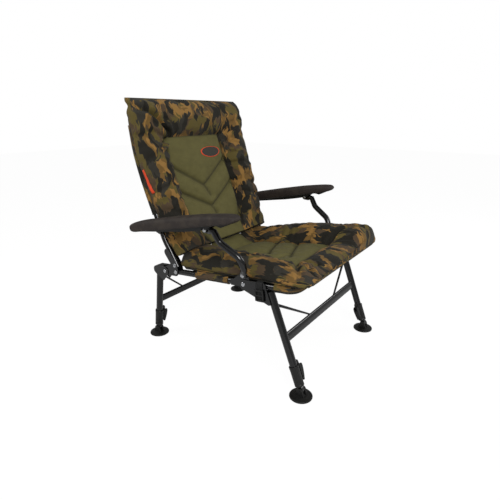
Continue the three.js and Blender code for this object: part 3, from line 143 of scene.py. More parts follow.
class Finish:
    """A material: its constant values first, then the patterns that vary them."""

    def __init__(self, name, **constants):
        self.material = bpy.data.materials.new(name)
        self.material.use_nodes = True
        tree = self.material.node_tree
        tree.nodes.clear()
        self.wire = Wire(tree)
        self.shader = tree.nodes.new("ShaderNodeBsdfPrincipled")
        tree.links.new(self.shader.outputs[0], tree.nodes.new("ShaderNodeOutputMaterial").inputs[0])
        for socket, value in constants.items():
            self.shader.inputs[socket.replace("_", " ")].default_value = value
        self.place = self.wire.node("ShaderNodeTexCoord", out="Object")

    def vary(self, **patterns):
        for socket, wire in patterns.items():
            self.wire.tree.links.new(wire.socket, self.shader.inputs[socket.replace("_", " ")])

    def bump(self, height, depth, strength):
        inputs = {"Height": height, "Distance": depth, "Strength": strength}
        self.vary(Normal=self.wire.node("ShaderNodeBump", inputs))


def new_piece(name, mesh, *materials):
    piece = bpy.data.objects.new(name, mesh)
    bpy.context.scene.collection.objects.link(piece)
    for material in materials:
        mesh.materials.append(material)
    return piece


def skin(name, points, faces, *materials):
    """A piece from points in millimetres in the chair's own frame."""
    mesh = bpy.data.meshes.new(name)
    mesh.from_pydata([tuple(c / 1000 for c in p) for p in points], [], faces)
    mesh.polygons.foreach_set("use_smooth", [True] * len(mesh.polygons))
    mesh.update()
    return new_piece(name, mesh, *materials)


SIDES = (("left", 1), ("right", -1))
FLOOR_HALF = 9000

floor_paint = bpy.data.materials.new("studio_floor")
floor_paint.use_nodes = True
floor_tree = floor_paint.node_tree
floor_tree.nodes.clear()
floor_wire = Wire(floor_tree)
seen = floor_wire.node("ShaderNodeLightPath", out="Is Camera Ray")
matt = floor_wire.node("ShaderNodeBsdfDiffuse", {"Color": srgb(196, 196, 196)})
glow = floor_wire.node("ShaderNodeEmission", {"Color": (1, 1, 1, 1), "Strength": 1.1})
whitened = floor_wire.node("ShaderNodeMixShader", {0: seen * 0.86, 1: matt, 2: glow})
floor_tree.links.new(whitened.socket, floor_tree.nodes.new("ShaderNodeOutputMaterial").inputs[0])
floor_corners = [(x * FLOOR_HALF, y * FLOOR_HALF, 0) for x, y in ((-1, -1), (1, -1), (1, 1), (-1, 1))]
floor = skin("studio_floor", floor_corners, [(0, 1, 2, 3)], floor_paint)

world = bpy.data.worlds.new("studio")
bpy.context.scene.world = world
world.use_nodes = True
world.node_tree.nodes.clear()
sky = Wire(world.node_tree)
RAYS = ("Is Camera Ray", "Is Glossy Ray", "Is Transmission Ray")
ray = {name: sky.node("ShaderNodeLightPath", out=name) for name in RAYS}
direct = ray["Is Camera Ray"].sum("MAXIMUM", ray["Is Camera Ray"], ray["Is Transmission Ray"])
strength = 0.46 + direct * 0.54 - ray["Is Glossy Ray"] * 0.22
shine = sky.node("ShaderNodeBackground", {"Color": (1, 1, 1, 1), "Strength": strength})
world.node_tree.links.new(shine.socket, world.node_tree.nodes.new("ShaderNodeOutputWorld").inputs[0])

LAMPS_LOOK_AT = Vector((0, 0, 0.45))
SOFT_BOXES = [
    ("key", (-1.9, -2.1, 2.1), 1.2, 52),
    ("fill", (1.9, -1.7, 1.6), 1.2, 16),
    ("back_light", (-1.6, 1.5, 2.0), 0.9, 16),
]
for name, place, size, watts in SOFT_BOXES:
    lamp = bpy.data.lights.new(name, "AREA")
    lamp.energy, lamp.size, lamp.shape = watts, size, "SQUARE"
    box = bpy.data.objects.new(name, lamp)
    bpy.context.scene.collection.objects.link(box)
    box.location = place
    box.rotation_mode = "QUATERNION"
    box.rotation_quaternion = (LAMPS_LOOK_AT - Vector(place)).to_track_quat("-Z", "Y")

# ---------------------------------------------------------------- seat and back tubes
# Round steel tube, bent to a U under the seat and to an arch round the back,
# and powder coated in gloss black.
ROW_Y = -8.224
SEAT_HEIGHT, SEAT_TILT = 324.4, math.radians(6.56)
FRAME_X, RAIL_R = 260, 11
RAIL_REAR_Y, RAIL_FRONT_Y, RAIL_CORNER_R = 216, -300, 32

black_paint = Finish(
    "black_powder_coat", Base_Color=srgb(9, 9, 10), Roughness=0.26, Specular_IOR_Level=0.32,
    Coat_Weight=0.7, Coat_Roughness=0.07,
)
black_paint.vary(Roughness=black_paint.place.noise(14, 3) * 0.12 + 0.2)
black_paint.bump(black_paint.place.noise(900, 2), 0.0001, 0.35)


def on_seat(x, along, up):
    """A place by the seat rails, along and above them, in the chair's frame."""
    return Vector((
        x,
        along * math.cos(SEAT_TILT) + up * math.sin(SEAT_TILT) + ROW_Y,
        -along * math.sin(SEAT_TILT) + up * math.cos(SEAT_TILT) + SEAT_HEIGHT,
    ))


def bent(corners, radius, steps=10):
    """A line through corners, with each inner corner rounded."""
    line = [Vector(corners[0])]
    for before, corner, after in zip(corners, corners[1:], corners[2:]):
        corner = Vector(corner)
        into, out = (Vector(before) - corner).normalized(), (Vector(after) - corner).normalized()
        half = into.angle(out) / 2
        centre = corner + (into + out).normalized() * radius / math.sin(half)
        start = corner + into * radius / math.tan(half) - centre
        end = corner + out * radius / math.tan(half) - centre
        axis, sweep = start.cross(end).normalized(), start.angle(end)
        line += [Matrix.Rotation(sweep * k / steps, 3, axis) @ start + centre for k in range(steps + 1)]
    return line + [Vector(corners[-1])]


def node_group(name, **inputs):
    """An empty group that takes a geometry, the inputs given and a finish, and gives a geometry."""
    tree = bpy.data.node_groups.new(name, "GeometryNodeTree")
    for label, kind in {"Geometry": "Geometry", **inputs, "Finish": "Material"}.items():
        tree.interface.new_socket(label, in_out="INPUT", socket_type="NodeSocket" + kind)
    tree.interface.new_socket("Geometry", in_out="OUTPUT", socket_type="NodeSocketGeometry")
    return tree, tree.nodes.new("NodeGroupInput").outputs, tree.nodes.new("NodeGroupOutput").inputs


def linked(tree, pairs):
    for source, target in pairs:
        tree.links.new(source, target)
    return tree


def tube_tree():
    """Geometry nodes that draw a round tube of a given radius and number of sides along a line."""
    tree, given, made = node_group("drawn_tube", Radius="Float", Sides="Int")
    line, ring, sweep, smooth, real, paint = (tree.nodes.new("GeometryNode" + kind) for kind in (
        "MeshToCurve", "CurvePrimitiveCircle", "CurveToMesh", "SetShadeSmooth", "RealizeInstances", "SetMaterial"))
    sweep.inputs["Fill Caps"].default_value = True
    return linked(tree, (
        (given["Geometry"], line.inputs[0]), (given["Radius"], ring.inputs["Radius"]),
        (given["Sides"], ring.inputs["Resolution"]), (line.outputs[0], sweep.inputs["Curve"]),
        (ring.outputs[0], sweep.inputs["Profile Curve"]), (sweep.outputs[0], smooth.inputs[0]),
        (smooth.outputs[0], real.inputs[0]), (real.outputs[0], paint.inputs["Geometry"]),
        (given["Finish"], paint.inputs["Material"]), (paint.outputs[0], made[0]),
    ))


def plain(source, name):
    """What a source's modifiers make, as a plain piece. The source goes."""
    bpy.context.view_layer.update()
    made = bpy.data.meshes.new_from_object(source.evaluated_get(bpy.context.evaluated_depsgraph_get()))
    bpy.data.objects.remove(source)
    made.name = name
    return new_piece(name, made)


def drawn(name, mesh, tree, **values):
    """What a node group makes of a mesh of points and lines, as a plain piece."""
    source = new_piece(name + "_source", mesh)
    modifier = source.modifiers.new("drawn", "NODES")
    modifier.node_group = tree
    sockets = {item.name: item.identifier for item in tree.interface.items_tree if item.in_out == "INPUT"}
    for label, value in values.items():
        modifier[sockets[label]] = value
    return plain(source, name)


def mark_sharp(work, limit):
    for edge in work.edges:
        edge.smooth = len(edge.link_faces) == 2 and edge.calc_face_angle(0) < limit


def turned_out(mesh, merge=0.0, sharp=None):
    """Turns a mesh's faces outwards, with points merged that lie closer than given, and marks its sharp edges."""
    work = bmesh.new()
    work.from_mesh(mesh)
    if merge:
        bmesh.ops.remove_doubles(work, verts=work.verts, dist=merge)
    bmesh.ops.recalc_face_normals(work, faces=work.faces)
    if sharp:
        mark_sharp(work, sharp)
    work.to_mesh(mesh)
    work.free()


def stands_for(piece, slot, body, *replaced):
    """Hides the CAD pieces that a piece replaces, and sets the piece on the body that it rides on; the slot is not
    used.
    """
    if replaced:
        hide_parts(*replaced)
    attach(piece, body)
    return piece


DRAWN_TUBE = tube_tree()


def drawn_tube(name, line, radius, finish, sides=28):
    """A tube along a line given in millimetres."""
    mesh = bpy.data.meshes.new(name + "_line")
    mesh.from_pydata([tuple(p / 1000) for p in line], [(i, i + 1) for i in range(len(line) - 1)], [])
    piece = drawn(name, mesh, DRAWN_TUBE, Radius=radius / 1000, Sides=sides, Finish=finish.material)
    turned_out(piece.data)
    piece.data.polygons.foreach_set("use_smooth", [len(face.vertices) == 4 for face in piece.data.polygons])
    return piece


rail_corners = [on_seat(x, along, 0) for x, along in (
    (-FRAME_X, RAIL_REAR_Y), (-FRAME_X, RAIL_FRONT_Y), (FRAME_X, RAIL_FRONT_Y), (FRAME_X, RAIL_REAR_Y))]
rail_line = bent(rail_corners, RAIL_CORNER_R)
stands_for(drawn_tube("seat_tube", rail_line, RAIL_R, black_paint), "black_paint", "seat", "seat_frame")

BACK_PIVOT = on_seat(0, 195.8, 26.1)
BACK_RUN, BACK_RISE, BACK_CORNER_R, BACK_FOOT, BACK_TAIL = 179.5, 534, 44, 52, 8.5
BACK_LEAN = math.radians(31.5)
BACK_SHARES = [
    (0, 0), (0.192, 0.0824), (0.3036, 0.1685), (0.4763, 0.3146),
    (0.7549, 0.5524), (0.8942, 0.7097), (0.9833, 0.9382), (1, 1),
]
BEND_SHARES = (0.163, 0.2379, 0.3315, 0.4533, 0.5843, 0.7342, 0.8933)
# The tube's direction at a height is taken between two heights this far above and below
BACK_STEP = 12.0


def cubic(t, start, start_slope, end, end_slope, span=1):
    """The curve between two points with their slopes, at a share t of the way."""
    return (
        (2 * t**3 - 3 * t**2 + 1) * start + (t**3 - 2 * t**2 + t) * span * start_slope
        + (-2 * t**3 + 3 * t**2) * end + (t**3 - t**2) * span * end_slope
    )


def smooth_line(points, steps=24):
    """A smooth curve through points, as the tube bender follows it."""
    points = [np.array(p, float) for p in points]
    ends = [2 * points[0] - points[1], *points, 2 * points[-1] - points[-2]]
    made = []
    for a, b, c, d in zip(ends, ends[1:], ends[2:], ends[3:]):
        t0, t1, t2 = (np.linalg.norm(q - p) ** 0.5 for p, q in ((a, b), (b, c), (c, d)))
        m1 = (b - a) / max(t0, 1e-6) - (c - a) / max(t0 + t1, 1e-6) + (c - b) / t1
        m2 = (c - b) / t1 - (d - b) / max(t1 + t2, 1e-6) + (d - c) / max(t2, 1e-6)
        made += [cubic(t, b, m1 * t1, c, m2 * t1) for t in np.arange(steps) / steps]
    return made + [points[-1]]


full_back = smooth_line([(BACK_PIVOT.y + run * BACK_RUN, BACK_PIVOT.z + rise * BACK_RISE) for run, rise in BACK_SHARES])
full_y, full_z = np.array(full_back).T
# The tube's middle line as it is built: straight at its foot, then through the curve's heights
foot_top = (BACK_PIVOT.y + BACK_FOOT * math.sin(BACK_LEAN), BACK_PIVOT.z + BACK_FOOT * math.cos(BACK_LEAN))
bends = [(np.interp(z, full_z, full_y), z) for z in (BACK_PIVOT.z + share * BACK_RISE for share in BEND_SHARES)]
back_curve = np.vstack([(BACK_PIVOT.y, BACK_PIVOT.z), np.array(smooth_line([foot_top, *bends, full_back[-1]], 12))])
back_y, back_z = back_curve[:, 0], back_curve[:, 1]


def back_at(z):
    """How far back the back tube's middle line is at a height, and its direction there, in y and z."""
    near = np.clip(z, back_z[0] + BACK_STEP, back_z[-1] - BACK_STEP)
    run = np.interp(near + BACK_STEP, back_z, back_y) - np.interp(near - BACK_STEP, back_z, back_y)
    y = np.interp(z, back_z, back_y)
    if z > back_z[-1]:
        y = back_y[-1] + (z - back_z[-1]) * run / (2 * BACK_STEP)
    return y, Vector((run, 2 * BACK_STEP)).normalized()


def on_back(x, z, ahead):
    """A place on the back: across it, up its tube and out in front of the tube's middle line."""
    y, tangent = back_at(z)
    return Vector((x, y - ahead * tangent.y, z + ahead * tangent.x))


tail = Vector((0, BACK_PIVOT.y - BACK_TAIL * math.sin(BACK_LEAN), BACK_PIVOT.z - BACK_TAIL * math.cos(BACK_LEAN)))
side_line = [tail] + [Vector((0, y, z)) for y, z in back_curve[1:-1]]
arch_low, arch_top = side_line[-1], Vector((0, *full_back[-1]))
arch_corners = ((-FRAME_X, arch_low), (-FRAME_X, arch_top), (FRAME_X, arch_top), (FRAME_X, arch_low))
arch = bent([(x, *corner[1:]) for x, corner in arch_corners], BACK_CORNER_R)
# The straight sides stop just short of the arch's first bend
up_side = [p for p in side_line if p.z < arch[1].z - 2]
right_side, left_side = ([Vector((x, p.y, p.z)) for p in up_side] for x in (-FRAME_X, FRAME_X))
back_line = right_side + arch[1:-1] + left_side[::-1]
stands_for(drawn_tube("back_tube", back_line, RAIL_R, black_paint), "black_paint", "back", "back_frame")

# ---------------------------------------------------------------- pressed plates and brackets
# Hinge plates, brackets, gussets, ears and cross bars are pressed from sheet steel,
# with their edges rounded off and coated with the frame.
BODY_OF = {node: body for body, members in frame["record"]["behaviour"]["bodies"].items() for node in members}
SHARP = math.radians(34)


def rounded(piece, width, segments, limit):
    """Rounds off the edges of a piece that are sharper than a limit."""
    bevel = piece.modifiers.new("rounded", "BEVEL")
    bevel.width, bevel.segments = width / 1000, segments
    bevel.limit_method, bevel.angle_limit = "ANGLE", limit
    bevel.harden_normals = True


def finished(node, finish, slot, round_off=0.5):
    """A smooth copy of a CAD piece, with its sharp edges rounded off, standing for that piece."""
    mesh = nodes[node].data.copy()
    mesh.materials.clear()
    clean = bmesh.new()
    clean.from_mesh(mesh)
    bmesh.ops.remove_doubles(clean, verts=clean.verts, dist=1e-5)
    bmesh.ops.dissolve_limit(clean, angle_limit=math.radians(0.6), verts=clean.verts, edges=clean.edges)
    mark_sharp(clean, SHARP)
    for face in clean.faces:
        face.smooth = True
    clean.to_mesh(mesh)
    clean.free()
    mesh.update()
    piece = new_piece(node + "_finished", mesh, finish.material)
    if round_off:
        rounded(piece, round_off, 2, SHARP)
    return stands_for(piece, slot, BODY_OF[node], node)


for node in ("rear_hinge_plate", "arm_bracket", "front_gusset", "rear_leg_bracket", "arm_hinge_ear"):
    for side, _ in SIDES:
        finished(f"{node}_{side}", black_paint, "black_paint")
for node in ("front_cross_bar", "rear_cross_bar"):
    finished(node, black_paint, "black_paint", 0)

# ---------------------------------------------------------------- leg tubes
# Straight steel tubes with a plastic cap pressed into the top, and a thinner tube that slides in each.
LEG_R, FOOT_PIN_Z = 12.5, 24
LEGS = {
    "front": dict(foot=-334 + ROW_Y, lean=math.radians(21.5), low=40, top=333.2),
    "rear": dict(foot=333 + ROW_Y, lean=math.radians(-8.6), low=40, top=283),
}


def on_leg(end, x, behind, up):
    """A place beside a leg: behind the leg line and up it from the foot pin."""
    leg = LEGS[end]
    return Vector((
        x,
        leg["foot"] + behind * math.cos(leg["lean"]) + up * math.sin(leg["lean"]),
        FOOT_PIN_Z - behind * math.sin(leg["lean"]) + up * math.cos(leg["lean"]),
    ))


# The front gusset's plates end beside the leg, so that the tube shows to its top
GUSSET_END = 1.0
ahead_of_leg = on_leg("front", 0, -1, 0) - on_leg("front", 0, 0, 0)
for side, _ in SIDES:
    plates = bpy.data.objects[f"front_gusset_{side}_finished"].data
    cut = bmesh.new()
    cut.from_mesh(plates)
    bmesh.ops.bisect_plane(
        cut, geom=[*cut.verts, *cut.edges, *cut.faces], dist=1e-6,
        plane_co=on_leg("front", 0, GUSSET_END, 0) / 1000, plane_no=ahead_of_leg, clear_outer=True,
    )
    bmesh.ops.holes_fill(cut, edges=[edge for edge in cut.edges if edge.is_boundary], sides=0)
    bmesh.ops.recalc_face_normals(cut, faces=cut.faces)
    cut.to_mesh(plates)
    cut.free()

for end, leg in LEGS.items():
    for side, sign in SIDES:
        line = [on_leg(end, sign * FRAME_X, 0, leg[height]) for height in ("low", "top")]
        tube = drawn_tube(f"{end}_leg_{side}", line, LEG_R, black_paint)
        stands_for(tube, "black_paint", f"{end}_legs", f"{end}_leg_tube_{side}")
        finished(f"{end}_inner_leg_{side}", black_paint, "black_paint", 0.4)

# ---------------------------------------------------------------- arm tubes
# One steel tube on each side, bent twice and flattened at both ends for its rivets.
ARM_X, ARM_FLAT = 312, 4
ARM_RUN, ARM_RISE = 118.01, 135.45
ARM_PIVOT = on_seat(0, -126.6, 32.9)
ARM_TOP = Vector((0, ARM_PIVOT.y + ARM_RUN, ARM_PIVOT.z + ARM_RISE))
ARM_FOOT_X, ARM_FOOT_OUT = 280.6, 7.9
ARM_SHARES = [(0, -0.0846, 0.1953), (0.2766, -0.0423, 0.4315), (0.8298, 0.5424, 0.7416), (1, 0.7712, 0.9926)]
LOW_EYE_R, TOP_EYE_R, EYE_STEPS, ARM_BEND_R = 13, 12, 8, 45


def circle(sides):
    return [(math.cos(2 * math.pi * k / sides), math.sin(2 * math.pi * k / sides)) for k in range(sides)]


def squarer(share, power):
    """A sine or cosine for a section that is between a circle and a rectangle."""
    return math.copysign(abs(share) ** power, share)


def ring_faces(rings, sides):
    """Faces between one ring of points and the next."""
    return [
        (i * sides + k, i * sides + (k + 1) % sides, (i + 1) * sides + (k + 1) % sides, (i + 1) * sides + k)
        for i in range(rings - 1) for k in range(sides)
    ]


def closed_faces(rings, sides):
    """The same, with a face over the first ring and over the last."""
    ends = [tuple(reversed(range(sides))), tuple(range((rings - 1) * sides, rings * sides))]
    return ring_faces(rings, sides) + ends


def eye(at, outward, radius, steps):
    """Stations of a flattened end, which is rounded about its rivet."""
    turns = [math.pi / 2 * k / EYE_STEPS for k in steps]
    return [
        (at + outward * radius * math.sin(t), radius * math.cos(t), ARM_FLAT * (0.55 + 0.45 * math.cos(t)))
        for t in turns
    ]


def arm_tube(side, sign):
    first = ARM_FOOT_X + ARM_FOOT_OUT
    middle = bent([
        Vector((first + out * (ARM_X - first), ARM_PIVOT.y + run * ARM_RUN, ARM_PIVOT.z + rise * ARM_RISE))
        for out, run, rise in ARM_SHARES
    ], ARM_BEND_R, 12)
    low, top = Vector((ARM_FOOT_X, ARM_PIVOT.y, ARM_PIVOT.z)), Vector((ARM_X, ARM_TOP.y, ARM_TOP.z))
    low_out, top_out = (low - middle[0]).normalized(), (top - middle[-1]).normalized()
    # Each station: its middle, half its width fore and aft, and half its thickness across
    stations = [
        *eye(low, low_out, LOW_EYE_R, range(EYE_STEPS, 0, -1)),
        (low, LOW_EYE_R, ARM_FLAT),
        (low.lerp(middle[0], 0.38), LOW_EYE_R, ARM_FLAT + 0.6),
        (low.lerp(middle[0], 0.75), LOW_EYE_R - 0.6, 7.4),
        *[(p, RAIL_R, RAIL_R) for p in middle[:-1]],
        (middle[-1].lerp(top, -0.2), RAIL_R, RAIL_R - 0.5),
        (middle[-1].lerp(top, 0.35), RAIL_R + 0.8, 6.8),
        (top - top_out * 9, TOP_EYE_R, ARM_FLAT + 0.3),
        (top, TOP_EYE_R, ARM_FLAT),
        *eye(top, top_out, TOP_EYE_R, range(1, EYE_STEPS + 1)),
    ]
    sides, points = 28, []
    for i, (place, wide, thick) in enumerate(stations):
        before, after = stations[max(i - 1, 0)][0], stations[min(i + 1, len(stations) - 1)][0]
        along = (after - before).normalized()
        across = (Vector((1, 0, 0)) - along * along.x).normalized()
        fore = along.cross(across)
        power = 0.72 if thick < 7 else 1
        for c, s in circle(sides):
            p = place + across * thick * squarer(c, power) + fore * max(wide, 0.2) * squarer(s, power)
            points.append((sign * p.x, p.y, p.z))
    piece = skin(f"arm_tube_{side}", points, closed_faces(len(stations), sides), black_paint.material)
    turned_out(piece.data, merge=1e-6)
    stands_for(piece, "black_paint", f"arm_support_{side}", f"arm_support_{side}")


for side, sign in SIDES:
    arm_tube(side, sign)

# ---------------------------------------------------------------- rivets
# Zinc-plated steel rivets with domed heads, one through each pivot. They are spun over a washer face.
RIVET_HEAD_R, RIVET_HEAD_H = 7.5, 3.2
# How far the plates reach to both sides of a rail or of an armrest
PLATE_OUT, CHEEK_OUT, EAR_OUT, BRACKET_OUT = 13.3, 16.1, 8.4, 11.1

zinc = Finish("zinc_plate", Base_Color=srgb(205, 207, 210), Metallic=1.0, Roughness=0.24)
zinc.vary(Roughness=zinc.place.noise(220, 3) * 0.2 + 0.16)
zinc.bump(zinc.place.noise(1400, 2), 0.0001, 0.2)


def head_mesh():
    """One domed head: a rim, a soft shoulder and a crown, on the +Z side."""
    profile = [
        (RIVET_HEAD_R - 0.3, 0), (RIVET_HEAD_R, 0.5), (RIVET_HEAD_R * 0.93, 1.2),
        (RIVET_HEAD_R * 0.72, 2.3), (RIVET_HEAD_R * 0.4, 3.0),
    ]
    sides = 20
    points = [(r * c, r * s, h) for r, h in profile for c, s in circle(sides)] + [(0, 0, RIVET_HEAD_H)]
    top = (len(profile) - 1) * sides
    crown = [(top + k, top + (k + 1) % sides, len(points) - 1) for k in range(sides)]
    faces = ring_faces(len(profile), sides) + crown + [tuple(reversed(range(sides)))]
    return skin("rivet_head", points, faces, zinc.material)


def rivet_tree(head):
    """Geometry nodes that set a rivet head on each point, turned to the point's own direction."""
    tree, given, made = node_group("set_rivets", Size="Float")
    shape, facing, turn, put, real, paint = (tree.nodes.new(kind) for kind in (
        "GeometryNodeObjectInfo", "GeometryNodeInputNamedAttribute", "FunctionNodeAlignRotationToVector",
        "GeometryNodeInstanceOnPoints", "GeometryNodeRealizeInstances", "GeometryNodeSetMaterial"))
    shape.inputs["Object"].default_value = head
    facing.data_type = "FLOAT_VECTOR"
    facing.inputs["Name"].default_value = "facing"
    turn.axis = "Z"
    return linked(tree, (
        (given["Geometry"], put.inputs["Points"]), (shape.outputs["Geometry"], put.inputs["Instance"]),
        (facing.outputs[0], turn.inputs["Vector"]), (turn.outputs[0], put.inputs["Rotation"]),
        (given["Size"], put.inputs["Scale"]), (put.outputs[0], real.inputs[0]),
        (real.outputs[0], paint.inputs["Geometry"]), (given["Finish"], paint.inputs["Material"]),
        (paint.outputs[0], made[0]),
    ))


head = head_mesh()
SET_RIVETS = rivet_tree(head)


def both_heads(place, inner, outer, signs=(1, -1)):
    """Heads on both faces of a joint, on each side of the chair, given how far its plates reach across."""
    return [
        (Vector((sign * x, place.y, place.z)), (sign * out, 0, 0))
        for x, out in ((inner, -1), (outer, 1)) for sign in signs
    ]


def rivets(name, heads, body, replaced):
    mesh = bpy.data.meshes.new(name + "_points")
    mesh.from_pydata([tuple(c / 1000 for c in place) for place, _ in heads], [], [])
    facing = mesh.attributes.new("facing", "FLOAT_VECTOR", "POINT")
    facing.data.foreach_set("vector", [c for _, direction in heads for c in direction])
    stands_for(drawn(name, mesh, SET_RIVETS, Size=1.0, Finish=zinc.material), "zinc_rivet", body, *replaced)


seat_heads = [
    *both_heads(BACK_PIVOT, FRAME_X - PLATE_OUT, FRAME_X + PLATE_OUT),
    *both_heads(on_seat(0, 195.8, 0), FRAME_X - PLATE_OUT, FRAME_X + PLATE_OUT),
    *both_heads(on_seat(0, 251.2, 0), FRAME_X - CHEEK_OUT, FRAME_X + CHEEK_OUT),
    *both_heads(on_seat(0, -118.4, 0), FRAME_X - CHEEK_OUT, FRAME_X + CHEEK_OUT),
    *both_heads(ARM_PIVOT, FRAME_X + BRACKET_OUT, ARM_FOOT_X + ARM_FLAT),
]
SEAT_RIVETS = ("back_pivot_rivet", "rear_leg_rivet", "front_leg_rivet", "arm_lower_rivet")
rivets("seat_rivets", seat_heads, "seat", [f"{name}_{side}" for name in SEAT_RIVETS for side, _ in SIDES])
for side, sign in SIDES:
    arm_heads = both_heads(ARM_TOP, ARM_X - EAR_OUT, ARM_X + EAR_OUT, (sign,))
    rivets(f"arm_rivets_{side}", arm_heads, f"armrest_{side}", [f"arm_upper_rivet_{side}"])
bpy.data.objects.remove(head)

# ---------------------------------------------------------------- leg clamps, cam levers and mud feet
# Glass-filled nylon mouldings: a split collar with a cam lever locks each inner leg,
# and each leg stands on a dished disc that swivels on a pin.
plastic = Finish("moulded_nylon", Base_Color=srgb(22, 22, 21), Roughness=0.38, Specular_IOR_Level=0.45)
plastic.vary(Roughness=plastic.place.noise(60, 3) * 0.16 + 0.36)
plastic.bump(plastic.place.noise(1500, 3, 0.6), 0.00012, 0.5)


def turned(name, profile, place, sides=40):
    """A moulding spun about the upright through a place, from a profile of radius and height."""
    points = [place(r * c, r * s, h) for r, h in profile for c, s in circle(sides)]
    piece = skin(name, points, closed_faces(len(profile), sides), plastic.material)
    turned_out(piece.data, sharp=math.radians(38))
    return piece


CLAMP_LOW, CLAMP_TOP, CLAMP_R = 16, 84, 15.5
CLAMP_PROFILE = [
    (CLAMP_R - 1.2, CLAMP_LOW), (CLAMP_R, CLAMP_LOW + 1.2), (CLAMP_R, CLAMP_LOW + 7), (CLAMP_R - 0.7, CLAMP_LOW + 8),
    (CLAMP_R - 0.7, CLAMP_LOW + 12), (CLAMP_R, CLAMP_LOW + 13), (CLAMP_R, CLAMP_TOP - 9),
    (CLAMP_R + 0.6, CLAMP_TOP - 7.5), (CLAMP_R + 0.6, CLAMP_TOP - 1), (CLAMP_R - 0.2, CLAMP_TOP),
    (LEG_R + 0.4, CLAMP_TOP), (LEG_R + 0.4, CLAMP_TOP - 3),
]
DISC_PROFILE = [
    (30, 0), (37, 0), (37.5, 0.8), (37.5, 2.8), (36.6, 4.4), (34.5, 5), (27, 6.3), (25, 7),
    (17, 8.3), (12, 8.8), (11, 9.6), (5, 9.6),
]

# The lever and the lug of the clamp, seen along the cross bar: how far they stand in from the leg, and how high
LEVER_PADDLE = [(17.5, 28), (20, 24), (24, 24), (29, 38), (33, 54), (34.5, 66), (17.5, 66)]
LEVER_CHEEK = [(17.5, 64), (34.5, 64), (34.5, 72), (33, 77.5), (28, 79.5), (21, 80.8), (17.5, 79.5)]
CLAMP_LUG = [(13.2, 66), (24, 68), (26.5, 76), (26.5, 86), (24.5, 93), (19, 95.5), (15.5, 91), (13.2, 84.5)]
LUG_HALF, CHEEK_IN, LEVER_HALF = 3.5, 4.4, 9


def side_plates(name, end, sign, plates):
    """Moulded plates across a leg, each from its outline and how far it reaches to both sides of the leg."""
    points, faces = [], []
    for outline, low, high in plates:
        start, count = len(points), len(outline)
        for b in (low, high):
            points += [on_leg(end, sign * (FRAME_X - inward), b, up) for inward, up in outline]
        ends = [tuple(range(count)), tuple(range(count, 2 * count))]
        faces += [tuple(start + k for k in face) for face in ring_faces(2, count) + ends]
    piece = skin(name, points, faces, plastic.material)
    turned_out(piece.data)
    rounded(piece, 1.3, 3, math.radians(28))
    return piece


for end, leg in LEGS.items():
    for side, sign in SIDES:
        x = sign * FRAME_X
        collar = turned(f"{end}_clamp_collar_{side}", CLAMP_PROFILE, lambda a, b, h: on_leg(end, x + a, b, h))
        stands_for(collar, "dark_plastic", f"{end}_legs")
        finished(f"{end}_leg_clamp_{side}", plastic, "dark_plastic", 0.6)
        lug = side_plates(f"{end}_clamp_lug_{side}", end, sign, [(CLAMP_LUG, -LUG_HALF, LUG_HALF)])
        stands_for(lug, "dark_plastic", f"{end}_legs")
        lever = side_plates(f"{end}_cam_lever_{side}", end, sign, [
            (LEVER_PADDLE, -LEVER_HALF, LEVER_HALF), (LEVER_CHEEK, -LEVER_HALF, -CHEEK_IN),
            (LEVER_CHEEK, CHEEK_IN, LEVER_HALF),
        ])
        stands_for(lever, "dark_plastic", f"{end}_clamp_lever_{side}", f"{end}_clamp_lever_{side}")
        disc = turned(
            f"{end}_foot_disc_{side}", DISC_PROFILE, lambda a, b, h: Vector((x + a, leg["foot"] + b, h)), 56)
        stands_for(disc, "dark_plastic", f"{end}_mud_foot_{side}")
        finished(f"{end}_mud_foot_{side}", plastic, "dark_plastic", 0.7)

# ---------------------------------------------------------------- armrests
# A moulded nylon base runs under a skinned foam pad. The pad is a soft matt brown-black
# that wraps over the base and swells a little in the middle.
ARM_TILT = math.radians(12.9)
ARM_HINGE = Vector((0, BACK_PIVOT.y + ARM_RUN, BACK_PIVOT.z + ARM_RISE))
ARM_PAD = [
    (-58, 8, -2, 17), (-53, 13, -9, 24), (-38, 17, -14, 28), (35, 23, -16, 29), (130, 23, -17, 29), (225, 22, -18, 30),
    (318, 19, -18, 30), (395, 14, -19, 29), (438, 10, -18, 27), (463, 6, -15, 22), (475, -1, -9, 14),
]
# The photograph's armrests end nearer to the hinge and the last tube than the solids do
TAIL_KEEP, NOSE_FROM, NOSE_KEEP = 0.62, 395, 0.76

foam = Finish("skinned_foam", Roughness=0.74)
mottled = foam.place.noise(22, 3, 0.6).step(0.42, 0.62).blend(srgb(42, 34, 30), srgb(53, 45, 38))
foam.vary(Base_Color=mottled, Roughness=foam.place.noise(40, 3) * 0.2 + 0.62)
foam.bump(foam.place.noise(700, 4, 0.65), 0.0003, 0.6)


def trimmed(ahead):
    return ahead * TAIL_KEEP if ahead < 0 else min(ahead, NOSE_FROM) + max(ahead - NOSE_FROM, 0) * NOSE_KEEP


def on_arm(x, ahead, up):
    """A place on the armrest: forward of its hinge and above it."""
    ahead = trimmed(ahead)
    return Vector((
        x,
        ARM_HINGE.y - ahead * math.cos(ARM_TILT) + up * math.sin(ARM_TILT),
        ARM_HINGE.z + ahead * math.sin(ARM_TILT) + up * math.cos(ARM_TILT),
    ))


